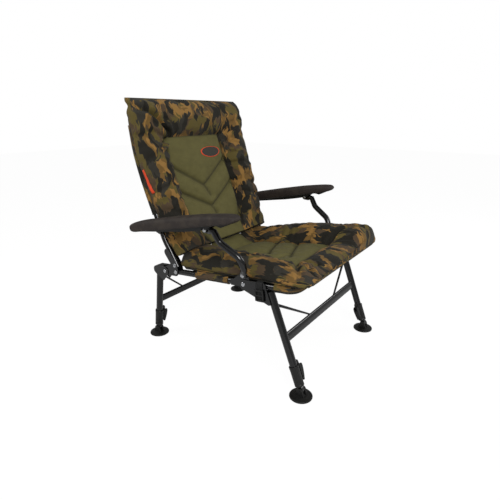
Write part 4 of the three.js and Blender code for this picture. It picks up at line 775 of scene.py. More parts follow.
def arm_pad(side, sign):
    rows = smooth_line(ARM_PAD, 6)
    sides, points = 36, []
    for ahead, top, skirt, half in rows:
        deep = top - skirt
        for c, s in circle(sides):
            across = half * squarer(c, 0.62)
            up = skirt + deep * (0.5 + 0.5 * squarer(s, 0.7 if s > 0 else 0.5))
            up += 0.5 * noise.noise(Vector((ahead, across, up)) / 60)
            points.append(on_arm(sign * (ARM_X + across), ahead, up))
    pad = skin(f"arm_pad_{side}", points, closed_faces(len(rows), sides), foam.material)
    turned_out(pad.data)
    ends = pad.modifiers.new("soft_ends", "SUBSURF")
    ends.levels = ends.render_levels = 1
    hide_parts(f"armrest_pad_{side}")
    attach(pad, f"armrest_{side}")
    base = finished(f"armrest_base_{side}", plastic, "dark_plastic", 1.2)
    lean_c, lean_s = math.cos(ARM_TILT), math.sin(ARM_TILT)
    for point in base.data.vertices:
        y, z = point.co.y * 1000 - ARM_HINGE.y, point.co.z * 1000 - ARM_HINGE.z
        point.co = on_arm(point.co.x * 1000, z * lean_s - y * lean_c, y * lean_s + z * lean_c) / 1000


for side, sign in SIDES:
    arm_pad(side, sign)

# ---------------------------------------------------------------- camouflage and plain cloth
# All the cloth is woven polyester. The borders and the sling are printed with a common woodland
# camouflage of leaf-like patches with combed edges; the middle panels are plain olive.
WEAVE = 1150.0
FURROW_SHADE, SUN_FADE = 0.62, 0.07


def weave_of(cloth):
    """Threads over and under, with a slight slub."""
    across = cloth.node("ShaderNodeSeparateXYZ", {0: cloth})
    warp, weft = (thread * (WEAVE * 2 * math.pi) for thread in (across, across.other("Y")))
    return warp.sum("SINE", warp) * weft.sum("SINE", weft) * 0.5 + cloth.noise(420, 2) * 0.8


def in_furrows(finish, colour):
    """Darkens the cloth near a sewn line: painted shade for the cloth drawn down into the seam."""
    furrow = finish.wire.node("ShaderNodeAttribute", attribute_name="furrow", out="Fac")
    return (furrow * FURROW_SHADE).blend(colour, srgb(24, 22, 14))


def camouflage(name):
    """The print follows the cloth: its patches lie along it, and their edges are torn into teeth that way."""
    made = Finish(name, Roughness=0.82, Specular_IOR_Level=0.3, Sheen_Weight=0.03, Sheen_Roughness=0.5)
    cloth = made.wire.node("ShaderNodeUVMap", uv_map="cloth")
    drift = cloth.noise(14, 2, out="Color").moved((-0.5, -0.5, -0.5))
    drawn_out = {0: drift, 1: (0.06, 0.06, 0.0), 2: cloth}
    print_at = cloth.node("ShaderNodeVectorMath", drawn_out, operation="MULTIPLY_ADD")
    across = print_at.node("ShaderNodeSeparateXYZ", {0: print_at})

    def teeth(count, length):
        """Pointed teeth of uneven lengths, so many to the metre across the cloth."""
        turn = across * count + cloth.noise(30, 1) * 2.5
        whole = turn.sum("FLOOR", turn)
        off = turn - whole - 0.5
        reach = whole.node("ShaderNodeTexWhiteNoise", {"W": whole}, noise_dimensions="1D")
        return (1 - off.sum("ABSOLUTE", off) * 2) * reach * length

    torn = across.other("Y") + teeth(95, 0.022) + teeth(61, 0.014)
    leaf = across.node("ShaderNodeCombineXYZ", {"X": across, "Y": torn, "Z": 0.0})

    def patches(offset, wide, long, share, soft=0.008):
        stretched = leaf.moved((offset, offset * 0.7, 0)).scaled((1 / wide, 1 / long, 1))
        return stretched.noise(1, 1.2, 0.5, 0.5).step(share - soft, share + soft)

    olive, brown, tan = srgb(90, 78, 35), srgb(76, 60, 42), srgb(141, 105, 51)
    dark, slate, ochre = srgb(23, 22, 16), srgb(45, 43, 37), srgb(110, 82, 37)
    tan_patch = patches(1.9, 0.05, 0.082, 0.55)
    colour = patches(3.1, 0.058, 0.09, 0.52).blend(olive, brown)
    colour = patches(7.7, 0.05, 0.082, 0.54).blend(colour, slate)
    colour = tan_patch.blend(colour, tan)
    colour = (tan_patch * patches(9.2, 0.036, 0.06, 0.52)).blend(colour, ochre)
    colour = patches(5.3, 0.044, 0.08, 0.555).blend(colour, dark)
    fade = cloth.noise(60, 3, 0.6)
    colour = (fade * SUN_FADE).blend(colour, srgb(104, 92, 66))
    made.vary(Base_Color=in_furrows(made, colour), Roughness=fade * 0.16 + 0.74)
    made.bump(weave_of(cloth), 0.00035, 0.5)
    return made


def plain_cloth(name, shade, deep, roughness=0.8):
    made = Finish(name, Roughness=roughness, Specular_IOR_Level=0.3, Sheen_Weight=0.03, Sheen_Roughness=0.4)
    cloth = made.wire.node("ShaderNodeUVMap", uv_map="cloth")
    colour = cloth.noise(28, 4, 0.6).step(0.3, 0.75).blend(shade, deep)
    made.vary(Base_Color=in_furrows(made, colour), Roughness=cloth.noise(90, 3) * 0.16 + roughness - 0.08)
    made.bump(weave_of(cloth), 0.0003, 0.45)
    return made


def lay_cloth(mesh, place):
    """Gives each point of a mesh its place on the cloth, in metres."""
    uv = mesh.uv_layers.new(name="cloth")
    for loop in mesh.loops:
        uv.data[loop.index].uv = place(mesh.vertices[loop.vertex_index])


def thickened(piece, thickness):
    layer = piece.modifiers.new("thickness", "SOLIDIFY")
    layer.thickness, layer.offset = thickness, 0


camo = camouflage("woodland_print")
olive_cloth = plain_cloth("olive_panel", srgb(96, 91, 51), srgb(88, 83, 46))
under_cloth = plain_cloth("lining_cloth", srgb(34, 35, 31), srgb(27, 28, 25), 0.86)

# ---------------------------------------------------------------- mattress
# One padded mattress, folded where the back meets the seat. Its two halves have a smooth quilted middle
# between fibre-filled borders, whose cloth is cut long and gathered into the seams.
CLOTH, PAD_GAP, SEAM_DEPTH, PANEL_CROWN = 2, 0.7, 5, 5
BOLSTER = [(0.08, 0.28), (0.25, 0.78), (0.45, 1), (0.65, 0.97), (0.82, 0.8), (0.94, 0.48)]
EDGE_SHARE, UNDER_EDGE, OVER_RAIL, OFF_RAIL = 0.18, 7, 243.5, 238.5
RAIL_COVER, FRONT_COVER, SLING_SAG, SLING_TAUT, SLING_INSET = 18, 14, 12, 85, 12.2
SEAT_ROWS = [
    (178, 256, 93, 62, 84), (160, 260, 93, 50, 84), (135, 262, 94, 36, 83), (105, 264, 96, 28, 82),
    (60, 266, 99, 29, 80), (0, 266, 105, 30, 77), (-60, 266, 110, 30, 73), (-120, 266, 114, 30, 68),
    (-175, 268, 118, 29, 62), (-204, 270, 120, 27, 57), (-225, 272, 121, 22, 55), (-238, 273, 122, 34, 54),
    (-255, 275, 124, 43, 52), (-273, 277, 125, 46, 51), (-288, 278, 126, 46, 50), (-305, 279, 127, 45, 48),
    (-325, 278, 127, 40, 43), (-338, 274, 126, 33, 34), (-345, 267, 122, 27, 27),
]
BACK_ROWS = [
    (350, 262, 96, 62, 86), (372, 266, 104, 56, 85), (400, 270, 118, 50, 86), (440, 274, 134, 48, 88),
    (480, 276, 142, 50, 90), (530, 279, 146, 52, 92), (580, 281, 148, 54, 95), (630, 282, 149, 55, 98),
    (680, 284, 150, 54, 96), (725, 286, 151, 52, 90), (746, 287, 152, 50, 86), (758, 287, 152, 42, 82),
    (770, 288, 152, 56, 82), (790, 289, 153, 66, 82), (815, 290, 153, 70, 80), (838, 290, 153, 69, 77),
    (858, 288, 152, 62, 69), (873, 287, 150, 50, 56), (884, 283, 146, 34, 36),
]
# The back's panel stands nearer to one side, most of all at its top, and lies deeper than its borders
PANEL_NEAR, PANEL_FAR, PANEL_SINK = -14, [(480, 0), (600, -8), (758, -24)], 8
SEAT_SEAM, BACK_SEAM = -225, 758
PANEL_STEPS, BORDER_STEPS, UNDER_STEPS = 20, 36, 16
OVER_STEPS = PANEL_STEPS + BORDER_STEPS
ROW_STEP, SEAM_WIDE, TOP_BORDER_FROM = 5.6, 7, 838
# The cushions' fill: how far its swell can lift the panel and the loose border cloth
FILL_FRAMES, PANEL_CAP, BORDER_CAP = 20, 7, 10
# Sewn channels: their depth and width, and the puff of the padding between them
CHANNEL_DEEP, CHANNEL_WIDE, PUFF, PUFF_FROM, PINNED_TO = 13, 7.2, 2.5, 30, 4.0
# Each fold has a low ridge beside it: its height as a share of the fold's depth, and its place in fold widths
RIDGE, RIDGE_AT = 0.35, 2.1
# The gathered cloth: how many short folds, how high its pleats stand, how far they are apart along the border
# and across the band, how far they wander, and how high the padding stands in lumps
SEAT_FOLDS, BACK_FOLDS, SEAT_PLEATS, BACK_PLEATS = 20, 40, 0.7, 1.4
PLEAT_PITCH, BAND_PITCH, WANDER, LUMPS_HIGH = 8.5, 9.0, 9, 3.0
# The sides are drawn tighter, from this share of the border on
SIDE_TIGHT, SIDE_FROM, SIDE_OVER = 0.65, 0.55, 0.25
# Shade round a sewn line: how wide, and how strong along a seam beside a channel's 1
CHANNEL_SHADE, SEAM_SHADE, SEAM_SHARE = 4.6, 4.2, 0.75


def sling_z(x, along):
    """How far the seat sling hangs below the rails."""
    slack = min(max((along - RAIL_FRONT_Y - SLING_INSET - 5) / SLING_TAUT, 0), 1)
    share = min(abs(x) / (FRAME_X - SLING_INSET - 5), 1)
    return -SLING_SAG * slack * (1 - share**2)


def rows_between(table, seam):
    """The table's rows, made closer and smooth, with one of them on the cross seam."""
    table = np.array(table, float)
    table = table[np.argsort(table[:, 0])]
    x = table[:, 0]
    to_seam, past_seam = (
        np.linspace(low, high, max(2, round((high - low) / ROW_STEP) + 1))
        for low, high in ((x[0], seam), (seam, x[-1]))
    )
    places = np.concatenate([to_seam, past_seam[1:]])
    i = np.clip(np.searchsorted(x, places) - 1, 0, len(x) - 2)
    h = x[i + 1] - x[i]
    made = [places]
    for y in table[:, 1:].T:
        slope = np.diff(y) / np.diff(x)
        level = 2 * slope[:-1] * slope[1:] / (slope[:-1] + slope[1:] + 1e-12)
        m = np.concatenate([slope[:1], np.where(slope[:-1] * slope[1:] > 0, level, 0), slope[-1:]])
        made.append(cubic((places - x[i]) / h, y[i], m[i], y[i + 1], m[i + 1], h))
    return np.array(made).T


def half_section(half, panel, panel_top, bolster_top, under_rails, under_middle):
    """One side of a section from its middle over the top to its middle below, as (across, up)."""
    over = []
    for k in range(PANEL_STEPS + 1):
        x = panel * math.sin(math.pi / 2 * (k / PANEL_STEPS)) if k < PANEL_STEPS else panel
        sewn = SEAM_DEPTH * math.exp(-(((panel - x) / SEAM_WIDE) ** 2))
        over.append((x, panel_top + PANEL_CROWN * (1 - (x / panel) ** 2) - sewn))
    border = [(panel, panel_top - SEAM_DEPTH)]
    for share, rise in BOLSTER:
        low = under_rails if share > 0.5 else panel_top - SEAM_DEPTH
        border.append((panel + (half - panel) * share, low + (bolster_top - low) * rise))
    border += [(half, under_rails + (bolster_top - under_rails) * EDGE_SHARE), (half - UNDER_EDGE, under_rails)]
    fine = np.array(smooth_line(border, 10))
    reach = np.concatenate([[0], np.cumsum(np.linalg.norm(np.diff(fine, axis=0), axis=1))])
    wanted = np.linspace(0, reach[-1], BORDER_STEPS + 1)[1:]
    over += list(zip(np.interp(wanted, reach, fine[:, 0]), np.interp(wanted, reach, fine[:, 1])))
    places = [OFF_RAIL, *[OFF_RAIL * (1 - k / UNDER_STEPS) for k in range(1, UNDER_STEPS + 1)]]
    return over + [(OVER_RAIL, under_rails)] + [(x, under_middle(x)) for x in places]


class Pad:
    """Half of the mattress as a grid: rows along it, and points round each row."""

    def __init__(self, seat, table, seam, section, place):
        self.seat, self.seam = seat, seam
        self.rows = rows_between(table, seam)
        self.seam_row = int(np.argmin(abs(self.rows[:, 0] - seam)))
        halves = [section(*row) for row in self.rows]
        # Each ring goes from the middle of the top over the left side to the underside, and back on the right
        rings = [[*half, *[(-x, z) for x, z in half[-2:0:-1]]] for half in halves]
        turn, count = len(halves[0]), len(rings[0])
        # How far round the ring each point is from the middle of the top: + to the left, - to the right
        self.index = np.array([k if k < turn else k - count for k in range(count)])
        self.off = abs(self.index)[None, :]
        places = [[place(x, up, row[0]) for x, up in ring] for ring, row in zip(rings, self.rows)]
        self.points = np.array(places, float)
        self.section = np.array(rings, float)
        self.station = np.repeat(self.rows[:, :1], count, axis=1)

    def normals(self):
        p = self.points
        round_it = np.roll(p, -1, axis=1) - np.roll(p, 1, axis=1)
        along = np.gradient(p, axis=0)
        n = np.cross(round_it, along)
        return n / np.maximum(np.linalg.norm(n, axis=2, keepdims=True), 1e-9)


def seat_section(along, half, panel, panel_top, bolster_top):
    lifted = min(max((RAIL_FRONT_Y + 2 * RAIL_R + 5 - along) / (RAIL_R + CLOTH), 0), 1)

    def under(x):
        on_sling = sling_z(x, along) + CLOTH / 2 + PAD_GAP
        return on_sling + (FRONT_COVER - on_sling) * lifted

    return half_section(half, panel, panel_top, bolster_top, RAIL_COVER, under)


def back_section(z, half, panel, panel_top, bolster_top):
    cover = RAIL_R + CLOTH + 2
    low = CLOTH / 2 + PAD_GAP if z < TOP_BORDER_FROM else cover
    return half_section(half, panel, panel_top, bolster_top, cover, lambda x: low)


def ramp(value, over):
    """0 up to nought, 1 from the given value on, and straight between."""
    return np.clip(value / over, 0, 1)


def bell(off, width):
    """1 on a line, and falling away smoothly over a width beside it."""
    return np.exp(-((off / width) ** 2))


def near_lines(x, y, lines):
    """How far points are from the nearest of some lines, in the plane that the lines are drawn in."""
    best = np.full(np.shape(x), 1e9)
    for line in lines:
        for (x0, y0), (x1, y1) in zip(line, line[1:]):
            dx, dy = x1 - x0, y1 - y0
            t = np.clip(((x - x0) * dx + (y - y0) * dy) / (dx * dx + dy * dy), 0, 1)
            best = np.minimum(best, np.hypot(x - x0 - t * dx, y - y0 - t * dy))
    return best


def lumps(points, size, seed):
    """Smooth random hills from -1 to 1 over points in millimetres."""
    shift = Vector((seed * 13.1, seed * 7.7, seed * 3.3))
    flat = points.reshape(-1, 3)
    return np.array([noise.noise(Vector(p) / size + shift) for p in flat]).reshape(points.shape[:-1])


SEAT_CHANNELS = [
    [(-97, 116), (97, 98)],
    [(-112, -12), (-22, -50), (106, -1)], [(-22, -50), (-45, -66)],
    [(-116, -106), (-24, -146), (115, -92)], [(-24, -146), (-52, -160)],
]
BACK_CHANNELS = [
    [(-160, 661), (-22, 578), (134, 664)], [(-22, 578), (-4, 538)],
    [(-158, 571), (-12, 497), (142, 574)], [(-12, 497), (2, 466)],
    [(-120, 433), (120, 431)],
]
# The folds that the photograph shows: a line across the pad, and the fold's depth and width
SEAT_CREASES = [
    ([(-121, -222), (-190, -268), (-258, -318)], 11, 8), ([(121, -222), (196, -280), (262, -330)], 12, 8),
    ([(-140, -232), (-205, -335)], 8, 8), ([(150, -236), (214, -335)], 8, 8),
]
BACK_CREASES = [
    ([(-152, 768), (-200, 814), (-252, 854), (-300, 868)], 20, 8), ([(-246, 768), (-268, 806), (-262, 846)], 7, 8),
    ([(152, 768), (206, 812)], 6, 9), ([(-158, 742), (-226, 770), (-262, 776)], 9, 9),
]
# How much higher or lower the far bolster of the seat stands than the near one, along it
FAR_LIFT = [
    (-345, 44), (-325, 44), (-288, 39), (-225, 34), (-150, 27),
    (-90, 20), (-30, 8), (40, -4), (110, -14), (178, -16),
]
FAR_FROM, FAR_OVER = 95, 75
# The back's top corners stand up and out a little
CORNER_LIFT, CORNER_SPREAD, CORNER_FROM, CORNER_ROW = 4, 3, 235, 846


def gathers(pad, count, seed):
    """Short seeded folds across the border, from its inner or its outer seam."""
    draw = random.Random(seed)
    low, high = pad.rows[0, 0], pad.rows[-1, 0]
    folds = []
    for _ in range(count):
        side = draw.choice((-1, 1))
        place = draw.uniform(low + 20, high - 20)
        row = pad.rows[int(np.argmin(abs(pad.rows[:, 0] - place)))]
        inner, outer = row[2] + 4, row[1] - 8
        if draw.random() < 0.6:
            start, end = inner, inner + (outer - inner) * draw.uniform(0.35, 0.8)
        else:
            start, end = outer, outer - (outer - inner) * draw.uniform(0.3, 0.7)
        slope = draw.uniform(-0.8, 0.8)
        middle = (start + end) / 2 + draw.uniform(-8, 8)
        line = [
            (side * start, place), (side * middle, place + slope * (middle - start) * 0.6),
            (side * end, place + slope * (end - start)),
        ]
        folds.append((line, draw.uniform(3.5, 7.5), draw.uniform(6, 9)))
    return folds


def shape_pad(pad, channels, creases, seed):
    """Sews the channels and creases into the padding, and gathers the border."""
    out, x, station, seat = pad.normals(), pad.section[:, :, 0], pad.station, pad.seat
    in_panel = pad.off <= PANEL_STEPS
    past_seam = station < pad.seam if seat else station > pad.seam
    border = (pad.off <= OVER_STEPS) & (~in_panel | past_seam)
    quilt = near_lines(x, station if seat else pad.points[:, :, 2], channels)
    deep = CHANNEL_DEEP * bell(quilt, CHANNEL_WIDE) - PUFF * (1 - bell(quilt, PUFF_FROM))
    deep = np.where(in_panel & ~border, deep, 0)
    for line, depth, width in creases + gathers(pad, SEAT_FOLDS if seat else BACK_FOLDS, seed + 70):
        d = near_lines(x, station, [line])
        cut = bell(d, width) - RIDGE * bell(d - RIDGE_AT * width, width)
        deep = deep + np.where(border, depth * cut, 0)
    share = ramp(pad.off - PANEL_STEPS, BORDER_STEPS)
    rise = np.sin(np.pi * np.clip(share * 1.02, 0, 1)) ** 0.5
    band = border & in_panel
    # Gathers run across the border, and up and down on the cross band
    lengthwise = station + WANDER * lumps(pad.points, 60, seed)
    across = x + WANDER * lumps(pad.points, 60, seed + 5)
    on_band = np.sin(across / BAND_PITCH + 2.2 * lumps(pad.points, 90, seed + 9))
    on_border = np.sin(lengthwise / PLEAT_PITCH + 2.6 * lumps(pad.points, 90, seed + 3))
    high = SEAT_PLEATS if seat else BACK_PLEATS
    fold = np.where(border, np.where(band, on_band, on_border) * high * np.where(band, 1, rise), 0)
    puff = np.where(border, LUMPS_HIGH * lumps(pad.points, 42, seed + 20), 0)
    tight = 1 - SIDE_TIGHT * ramp(share - SIDE_FROM, SIDE_OVER)
    pad.points += out * ((fold + puff - deep) * tight)[:, :, None]
    if seat:
        lift = np.interp(station, *zip(*FAR_LIFT))
        weight = ramp(x - FAR_FROM, FAR_OVER)
        weight = weight * weight * (3 - 2 * weight) * ramp(OVER_STEPS - pad.off, 7)
        pad.points += np.array(SEAT_UP) * (lift * weight)[:, :, None]
    else:
        corner = ramp(abs(x) - CORNER_FROM, 45) * ramp(station - CORNER_ROW, 30)
        pad.points += np.array([0, 0.25, 1]) * (CORNER_LIFT * corner)[:, :, None]
        pad.points[:, :, 0] += CORNER_SPREAD * np.sign(x) * corner
    pad.border, pad.pinned = border, in_panel & (quilt < PINNED_TO)


def shift_panel(pad):
    """Moves the long seams of the back's panel sideways and sinks the panel between them."""
    x, station = pad.section[:, :, 0], pad.station
    half, panel = pad.rows[:, 1:2], pad.rows[:, 2:3]
    share = np.where(abs(x) < panel, abs(x) / panel, ramp(half - abs(x), half - panel))
    share = share * ramp(OVER_STEPS - pad.off, 10)
    move = np.where(x < 0, PANEL_NEAR, np.interp(station, *zip(*PANEL_FAR))) * share
    inner = ramp(PANEL_STEPS + 8 - pad.off, 10) * ramp(station - 400, 60) * ramp(BACK_SEAM + 4 - station, 16)
    pad.points[:, :, 0] += move
    pad.section[:, :, 0] += move
    pad.points -= np.array(BACK_OUT) * (PANEL_SINK * inner)[:, :, None]


def shade_furrows(piece, pad, channels):
    """Records how near the cloth is to a sewn line, for the shade that lies in it."""
    co = np.zeros(len(piece.data.vertices) * 3)
    piece.data.vertices.foreach_get("co", co)
    co = co.reshape(-1, 3) * 1000
    x = co[:, 0]
    if pad.seat:
        start, step = np.array(on_seat(0, 0, 0)), np.array(on_seat(0, 1, 0)) - np.array(on_seat(0, 0, 0))
        station = level = (co - start) @ step
        inside = station > pad.seam
    else:
        level = co[:, 2]
        station = np.interp(level, pad.points[:, 0, 2], pad.rows[:, 0])
        inside = station < pad.seam
    seams = [pad.section[:, list(pad.index).index(k), 0] for k in (PANEL_STEPS, -PANEL_STEPS)]
    edges = [np.interp(station, pad.rows[:, 0], seam) for seam in seams]
    low, high = np.minimum(*edges), np.maximum(*edges)
    near = near_lines(x, level, channels)
    rim = np.minimum(abs(x - low), abs(x - high))
    cross = abs(station - pad.seam)
    # A channel is shaded over the panel alone, the long seams up to the cross seam, and that seam between them
    made = np.where(inside & (x > low - 3) & (x < high + 3), bell(near, CHANNEL_SHADE), 0)
    made = np.maximum(made, np.where(inside, SEAM_SHARE * bell(rim, SEAM_SHADE), 0))
    made = np.maximum(made, np.where((x > low) & (x < high), SEAM_SHARE * bell(cross, SEAM_SHADE), 0))
    piece.data.attributes.new("furrow", "FLOAT", "POINT").data.foreach_set("value", made.astype(np.float32))


def mid_plane(ring):
    """A ring with its thickness taken out, square to the line between its middle points."""
    half = len(ring) // 2
    up = ring[0] - ring[half]
    up = up / np.linalg.norm(up)
    return ring - ((ring - (ring[0] + ring[half]) / 2) @ up)[:, None] * up


# Each ring that closes an end: how much of the thickness it keeps, and how far it stands out
END_RINGS = ((0.93, 2.2), (0.8, 4.0), (0.5, 5.0))


def close_ends(points, pushes):
    """Rings that round each end of the pad. Only the thickness draws in; the width stays."""
    ends = []
    for ring, before, pushed in ((points[0], points[1], pushes[0]), (points[-1], points[-2], pushes[1])):
        step = (ring - before).mean(axis=0)
        step = step / np.linalg.norm(step)
        thin = mid_plane(ring)
        ends.append([thin + (ring - thin) * scale + step * push * pushed for scale, push in END_RINGS])
    return np.array(ends[0][::-1]), np.array(ends[1])


def across_ring(count, start=0):
    """Faces that close a ring from its one side to its other."""
    quads = [dict.fromkeys((k, k + 1, (-k - 1) % count, -k % count)) for k in range(count // 2)]
    return [tuple(start + k for k in quad) for quad in quads if len(quad) > 2]


def build_pad(name, pad, pushes):
    """The cover as one closed sewn piece, with the points that the seams hold and its three cloths."""
    first, last = close_ends(pad.points, pushes)
    grid = np.concatenate([first, pad.points, last])
    rows, count = grid.shape[:2]
    faces = ring_faces(rows, count) + across_ring(count) + across_ring(count, (rows - 1) * count)
    mesh = bpy.data.meshes.new(name)
    mesh.from_pydata([tuple(c / 1000 for c in p) for p in grid.reshape(-1, 3).tolist()], [], faces)
    row_of = np.arange(rows)[:, None] - len(first)
    ends = (row_of < 0) | (row_of >= len(pad.rows))
    from_pad = np.clip(row_of[:, 0], 0, len(pad.rows) - 1)
    cross = (row_of == pad.seam_row) & (pad.off <= PANEL_STEPS)
    held = (pad.off >= OVER_STEPS) | (pad.off == PANEL_STEPS) | cross | pad.pinned[from_pad] | ends
    piece = new_piece(name, mesh, camo.material, olive_cloth.material, under_cloth.material)
    for label, points in (("held", held), ("gathered", pad.border[from_pad] & ~held)):
        piece.vertex_groups.new(name=label).add([int(i) for i in np.nonzero(points.ravel())[0]], 1.0, "REPLACE")
    # The cloth's own coordinates in metres: round the pad and along it
    length = np.linalg.norm(np.diff(grid, axis=0), axis=2).mean(axis=1)
    along = np.concatenate([[0], np.cumsum(length)]) / 1000
    width = np.linalg.norm(np.roll(grid, -1, axis=1) - grid, axis=2).mean(axis=0)
    half_way = np.concatenate([[0], np.cumsum(width[: count // 2])]) / 1000
    round_pad = np.array([half_way[k] if k <= count // 2 else -half_way[count - k] for k in range(count)])
    corner = np.zeros(len(mesh.loops), int)
    mesh.loops.foreach_get("vertex_index", corner)
    r, c = corner // count, corner % count
    slots = []
    for face in mesh.polygons:
        part = slice(face.loop_start, face.loop_start + face.loop_total)
        off, row = np.abs(pad.index[c[part]]), r[part] - len(first)
        in_rows = row.min() >= pad.seam_row if pad.seat else row.max() <= pad.seam_row
        slots.append(1 if in_rows and off.max() <= PANEL_STEPS else 0 if off.min() <= OVER_STEPS + 1 else 2)
    coords = np.stack([round_pad[c], along[r]], axis=1)
    mesh.uv_layers.new(name="cloth").data.foreach_set("uv", coords.ravel())
    mesh.polygons.foreach_set("material_index", slots)
    mesh.polygons.foreach_set("use_smooth", [True] * len(mesh.polygons))
    mesh.update()
    turned_out(mesh)
    return piece


# What the cover's cloth is like for the simulation
COVER = dict(
    quality=4, mass=0.25, tension_stiffness=22, compression_stiffness=22, shear_stiffness=8, bending_stiffness=0.35,
    air_damping=2.0, use_pressure=True, uniform_pressure_force=3.5, vertex_group_mass="held",
    vertex_group_shrink="gathered", shrink_min=-0.01, shrink_max=-0.11,
)


def fill_pad(piece, side):
    """Blows the cover up from inside as its filling does. The seams are held, and the long border cloth buckles."""
    scene = bpy.context.scene
    rest = np.zeros(len(piece.data.vertices) * 3)
    piece.data.vertices.foreach_get("co", rest)
    cloth = piece.modifiers.new("cover", "CLOTH")
    for setting, value in COVER.items():
        setattr(cloth.settings, setting, value)
    cloth.settings.effector_weights.gravity = 0
    cloth.collision_settings.use_collision = False
    cloth.collision_settings.use_self_collision = False
    cloth.point_cache.frame_start, cloth.point_cache.frame_end = 1, FILL_FRAMES
    for number in range(1, FILL_FRAMES + 1):
        scene.frame_set(number)
    shaped = piece.evaluated_get(bpy.context.evaluated_depsgraph_get())
    moved = np.zeros(len(rest))
    shaped.to_mesh().vertices.foreach_get("co", moved)
    shaped.to_mesh_clear()
    piece.modifiers.remove(cloth)
    scene.frame_set(1)
    shift = (moved - rest).reshape(-1, 3)
    size = np.linalg.norm(shift, axis=1)
    group = piece.vertex_groups["gathered"].index
    loose = np.array([any(g.group == group for g in v.groups) for v in piece.data.vertices])
    cap = np.where(loose, BORDER_CAP, PANEL_CAP) / 1000
    shift *= (np.tanh(size / cap) * cap / np.maximum(size, 1e-9))[:, None]
    filled = (rest + shift.ravel()).reshape(-1, 3)
    height = (filled - FOLD_AT / 1000) @ FOLD_UP * side - FOLD_GAP / 1000
    filled -= FOLD_UP * side * np.minimum(height, 0)[:, None]
    piece.data.vertices.foreach_set("co", filled.ravel().astype(np.float32))
    piece.data.update()
    finer = piece.modifiers.new("finer", "SUBSURF")
    finer.levels = finer.render_levels = 1
    name = piece.name
    piece.name = name + "_rough"
    return plain(piece, name)


SEAT_UP = Vector((0, math.sin(SEAT_TILT), math.cos(SEAT_TILT)))
# Square to the line from the fold to the back's top
FOLD_Z, BACK_END_Z = 350, 862
BACK_OUT = Vector((1, 0, 0)).cross(on_back(0, BACK_END_Z, 0) - on_back(0, FOLD_Z, 0)).normalized()
SEAT_REST, BACK_REST = on_seat(0, -50, 4), on_back(0, 480, 2)
SEAT_KEEP, BACK_KEEP = 0.34, 0.4
# The two halves meet at the fold: each stays on its own side of this plane
FOLD_GAP = 0.4
fold_y, fold_tangent = back_at(FOLD_Z)
FOLD_AT = np.array([0, fold_y, FOLD_Z])
FOLD_UP = np.array([0, fold_tangent.x, fold_tangent.y])

seat_pad = Pad(True, SEAT_ROWS, SEAT_SEAM, seat_section, lambda x, up, along: on_seat(x, along, up))
shape_pad(seat_pad, SEAT_CHANNELS, SEAT_CREASES, 1)
seat_pad.points += FOLD_UP * np.minimum(-FOLD_GAP - (seat_pad.points - FOLD_AT) @ FOLD_UP, 0)[:, :, None]
seat_cushion = fill_pad(build_pad("seat_mattress", seat_pad, (1.0, 0.0)), -1)

back_pad = Pad(False, BACK_ROWS, BACK_SEAM, back_section, lambda x, ahead, z: on_back(x, z, ahead))
shift_panel(back_pad)
shape_pad(back_pad, BACK_CHANNELS, BACK_CREASES, 2)
back_cushion = fill_pad(build_pad("back_mattress", back_pad, (0.0, 1.0)), 1)

shade_furrows(seat_cushion, seat_pad, SEAT_CHANNELS)
shade_furrows(back_cushion, back_pad, BACK_CHANNELS)
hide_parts("seat_cushion")
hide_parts("back_cushion")


def pressed_by_fold(piece, body):
    """Rides on a body, with a mesh of its own."""
    axis, rest, keep = (SEAT_UP, SEAT_REST, SEAT_KEEP) if body == "seat" else (BACK_OUT, BACK_REST, BACK_KEEP)
    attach(piece, body)
    tuple(rest / 1000)
    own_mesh(piece)


for cushion, body in ((seat_cushion, "seat"), (back_cushion, "back")):
    pressed_by_fold(cushion, body)

# The seam between the halves: the folded edges of both covers, sewn together across the fold
web_ring = seat_pad.points[-1] - FOLD_UP * (((seat_pad.points[-1] - FOLD_AT) @ FOLD_UP)[:, None])
web_middle = mid_plane(web_ring)
web_points = [Vector(p * (0.92, 1, 1)) for p in web_middle + (web_ring - web_middle) * 0.93]
seam_web = skin("fold_seam", web_points, across_ring(len(web_points)), under_cloth.material)
lay_cloth(seam_web.data, lambda v: (v.co.x, v.co.z))
pressed_by_fold(seam_web, "seat")

# Piping runs along the seat's lower edge: a cord in a strip of the print, sewn into the seam
PIPE_R, PIPE_OUT, PIPE_DOWN, NOSE_X, NOSE_Y = 2.2, 1.2, -0.8, 262, -346.5
pipe_left, pipe_right = (
    [
        Vector(points[k]) + Vector((math.copysign(PIPE_OUT, section[k][0]), 0, PIPE_DOWN))
        for points, section in zip(seat_pad.points[4:-4], seat_pad.section[4:-4])
    ]
    for k in (seat_pad.index.tolist().index(i) for i in (OVER_STEPS, -OVER_STEPS))
)
nose = [
    on_seat(x, NOSE_Y - 3.5 * (1 - (x / NOSE_X) ** 2), 22 + 1.5 * math.sin(x / 31))
    for x in np.linspace(NOSE_X, -NOSE_X, 60)
]
pipe_line = pipe_left[::-1] + nose + pipe_right
pipe_points = smooth_line(pipe_line[:-1:3] + [pipe_line[-1]], 3)
piping = drawn_tube("seat_piping", [Vector(p) for p in pipe_points], PIPE_R, camo, 8)
lay_cloth(piping.data, lambda v: (v.co.x + 0.4, v.co.y + v.co.z))
pressed_by_fold(piping, "seat")

# ---------------------------------------------------------------- badge and side tab
# An oval badge with a merrowed edge is stitched on the back's panel, and a folded woven tab
# is caught in the side seam. Both are left plain.
PATCH_X, PATCH_Z, PATCH_HALF_X, PATCH_HALF_Z, PATCH_THICK = 52, 686, 58, 29, 1.1

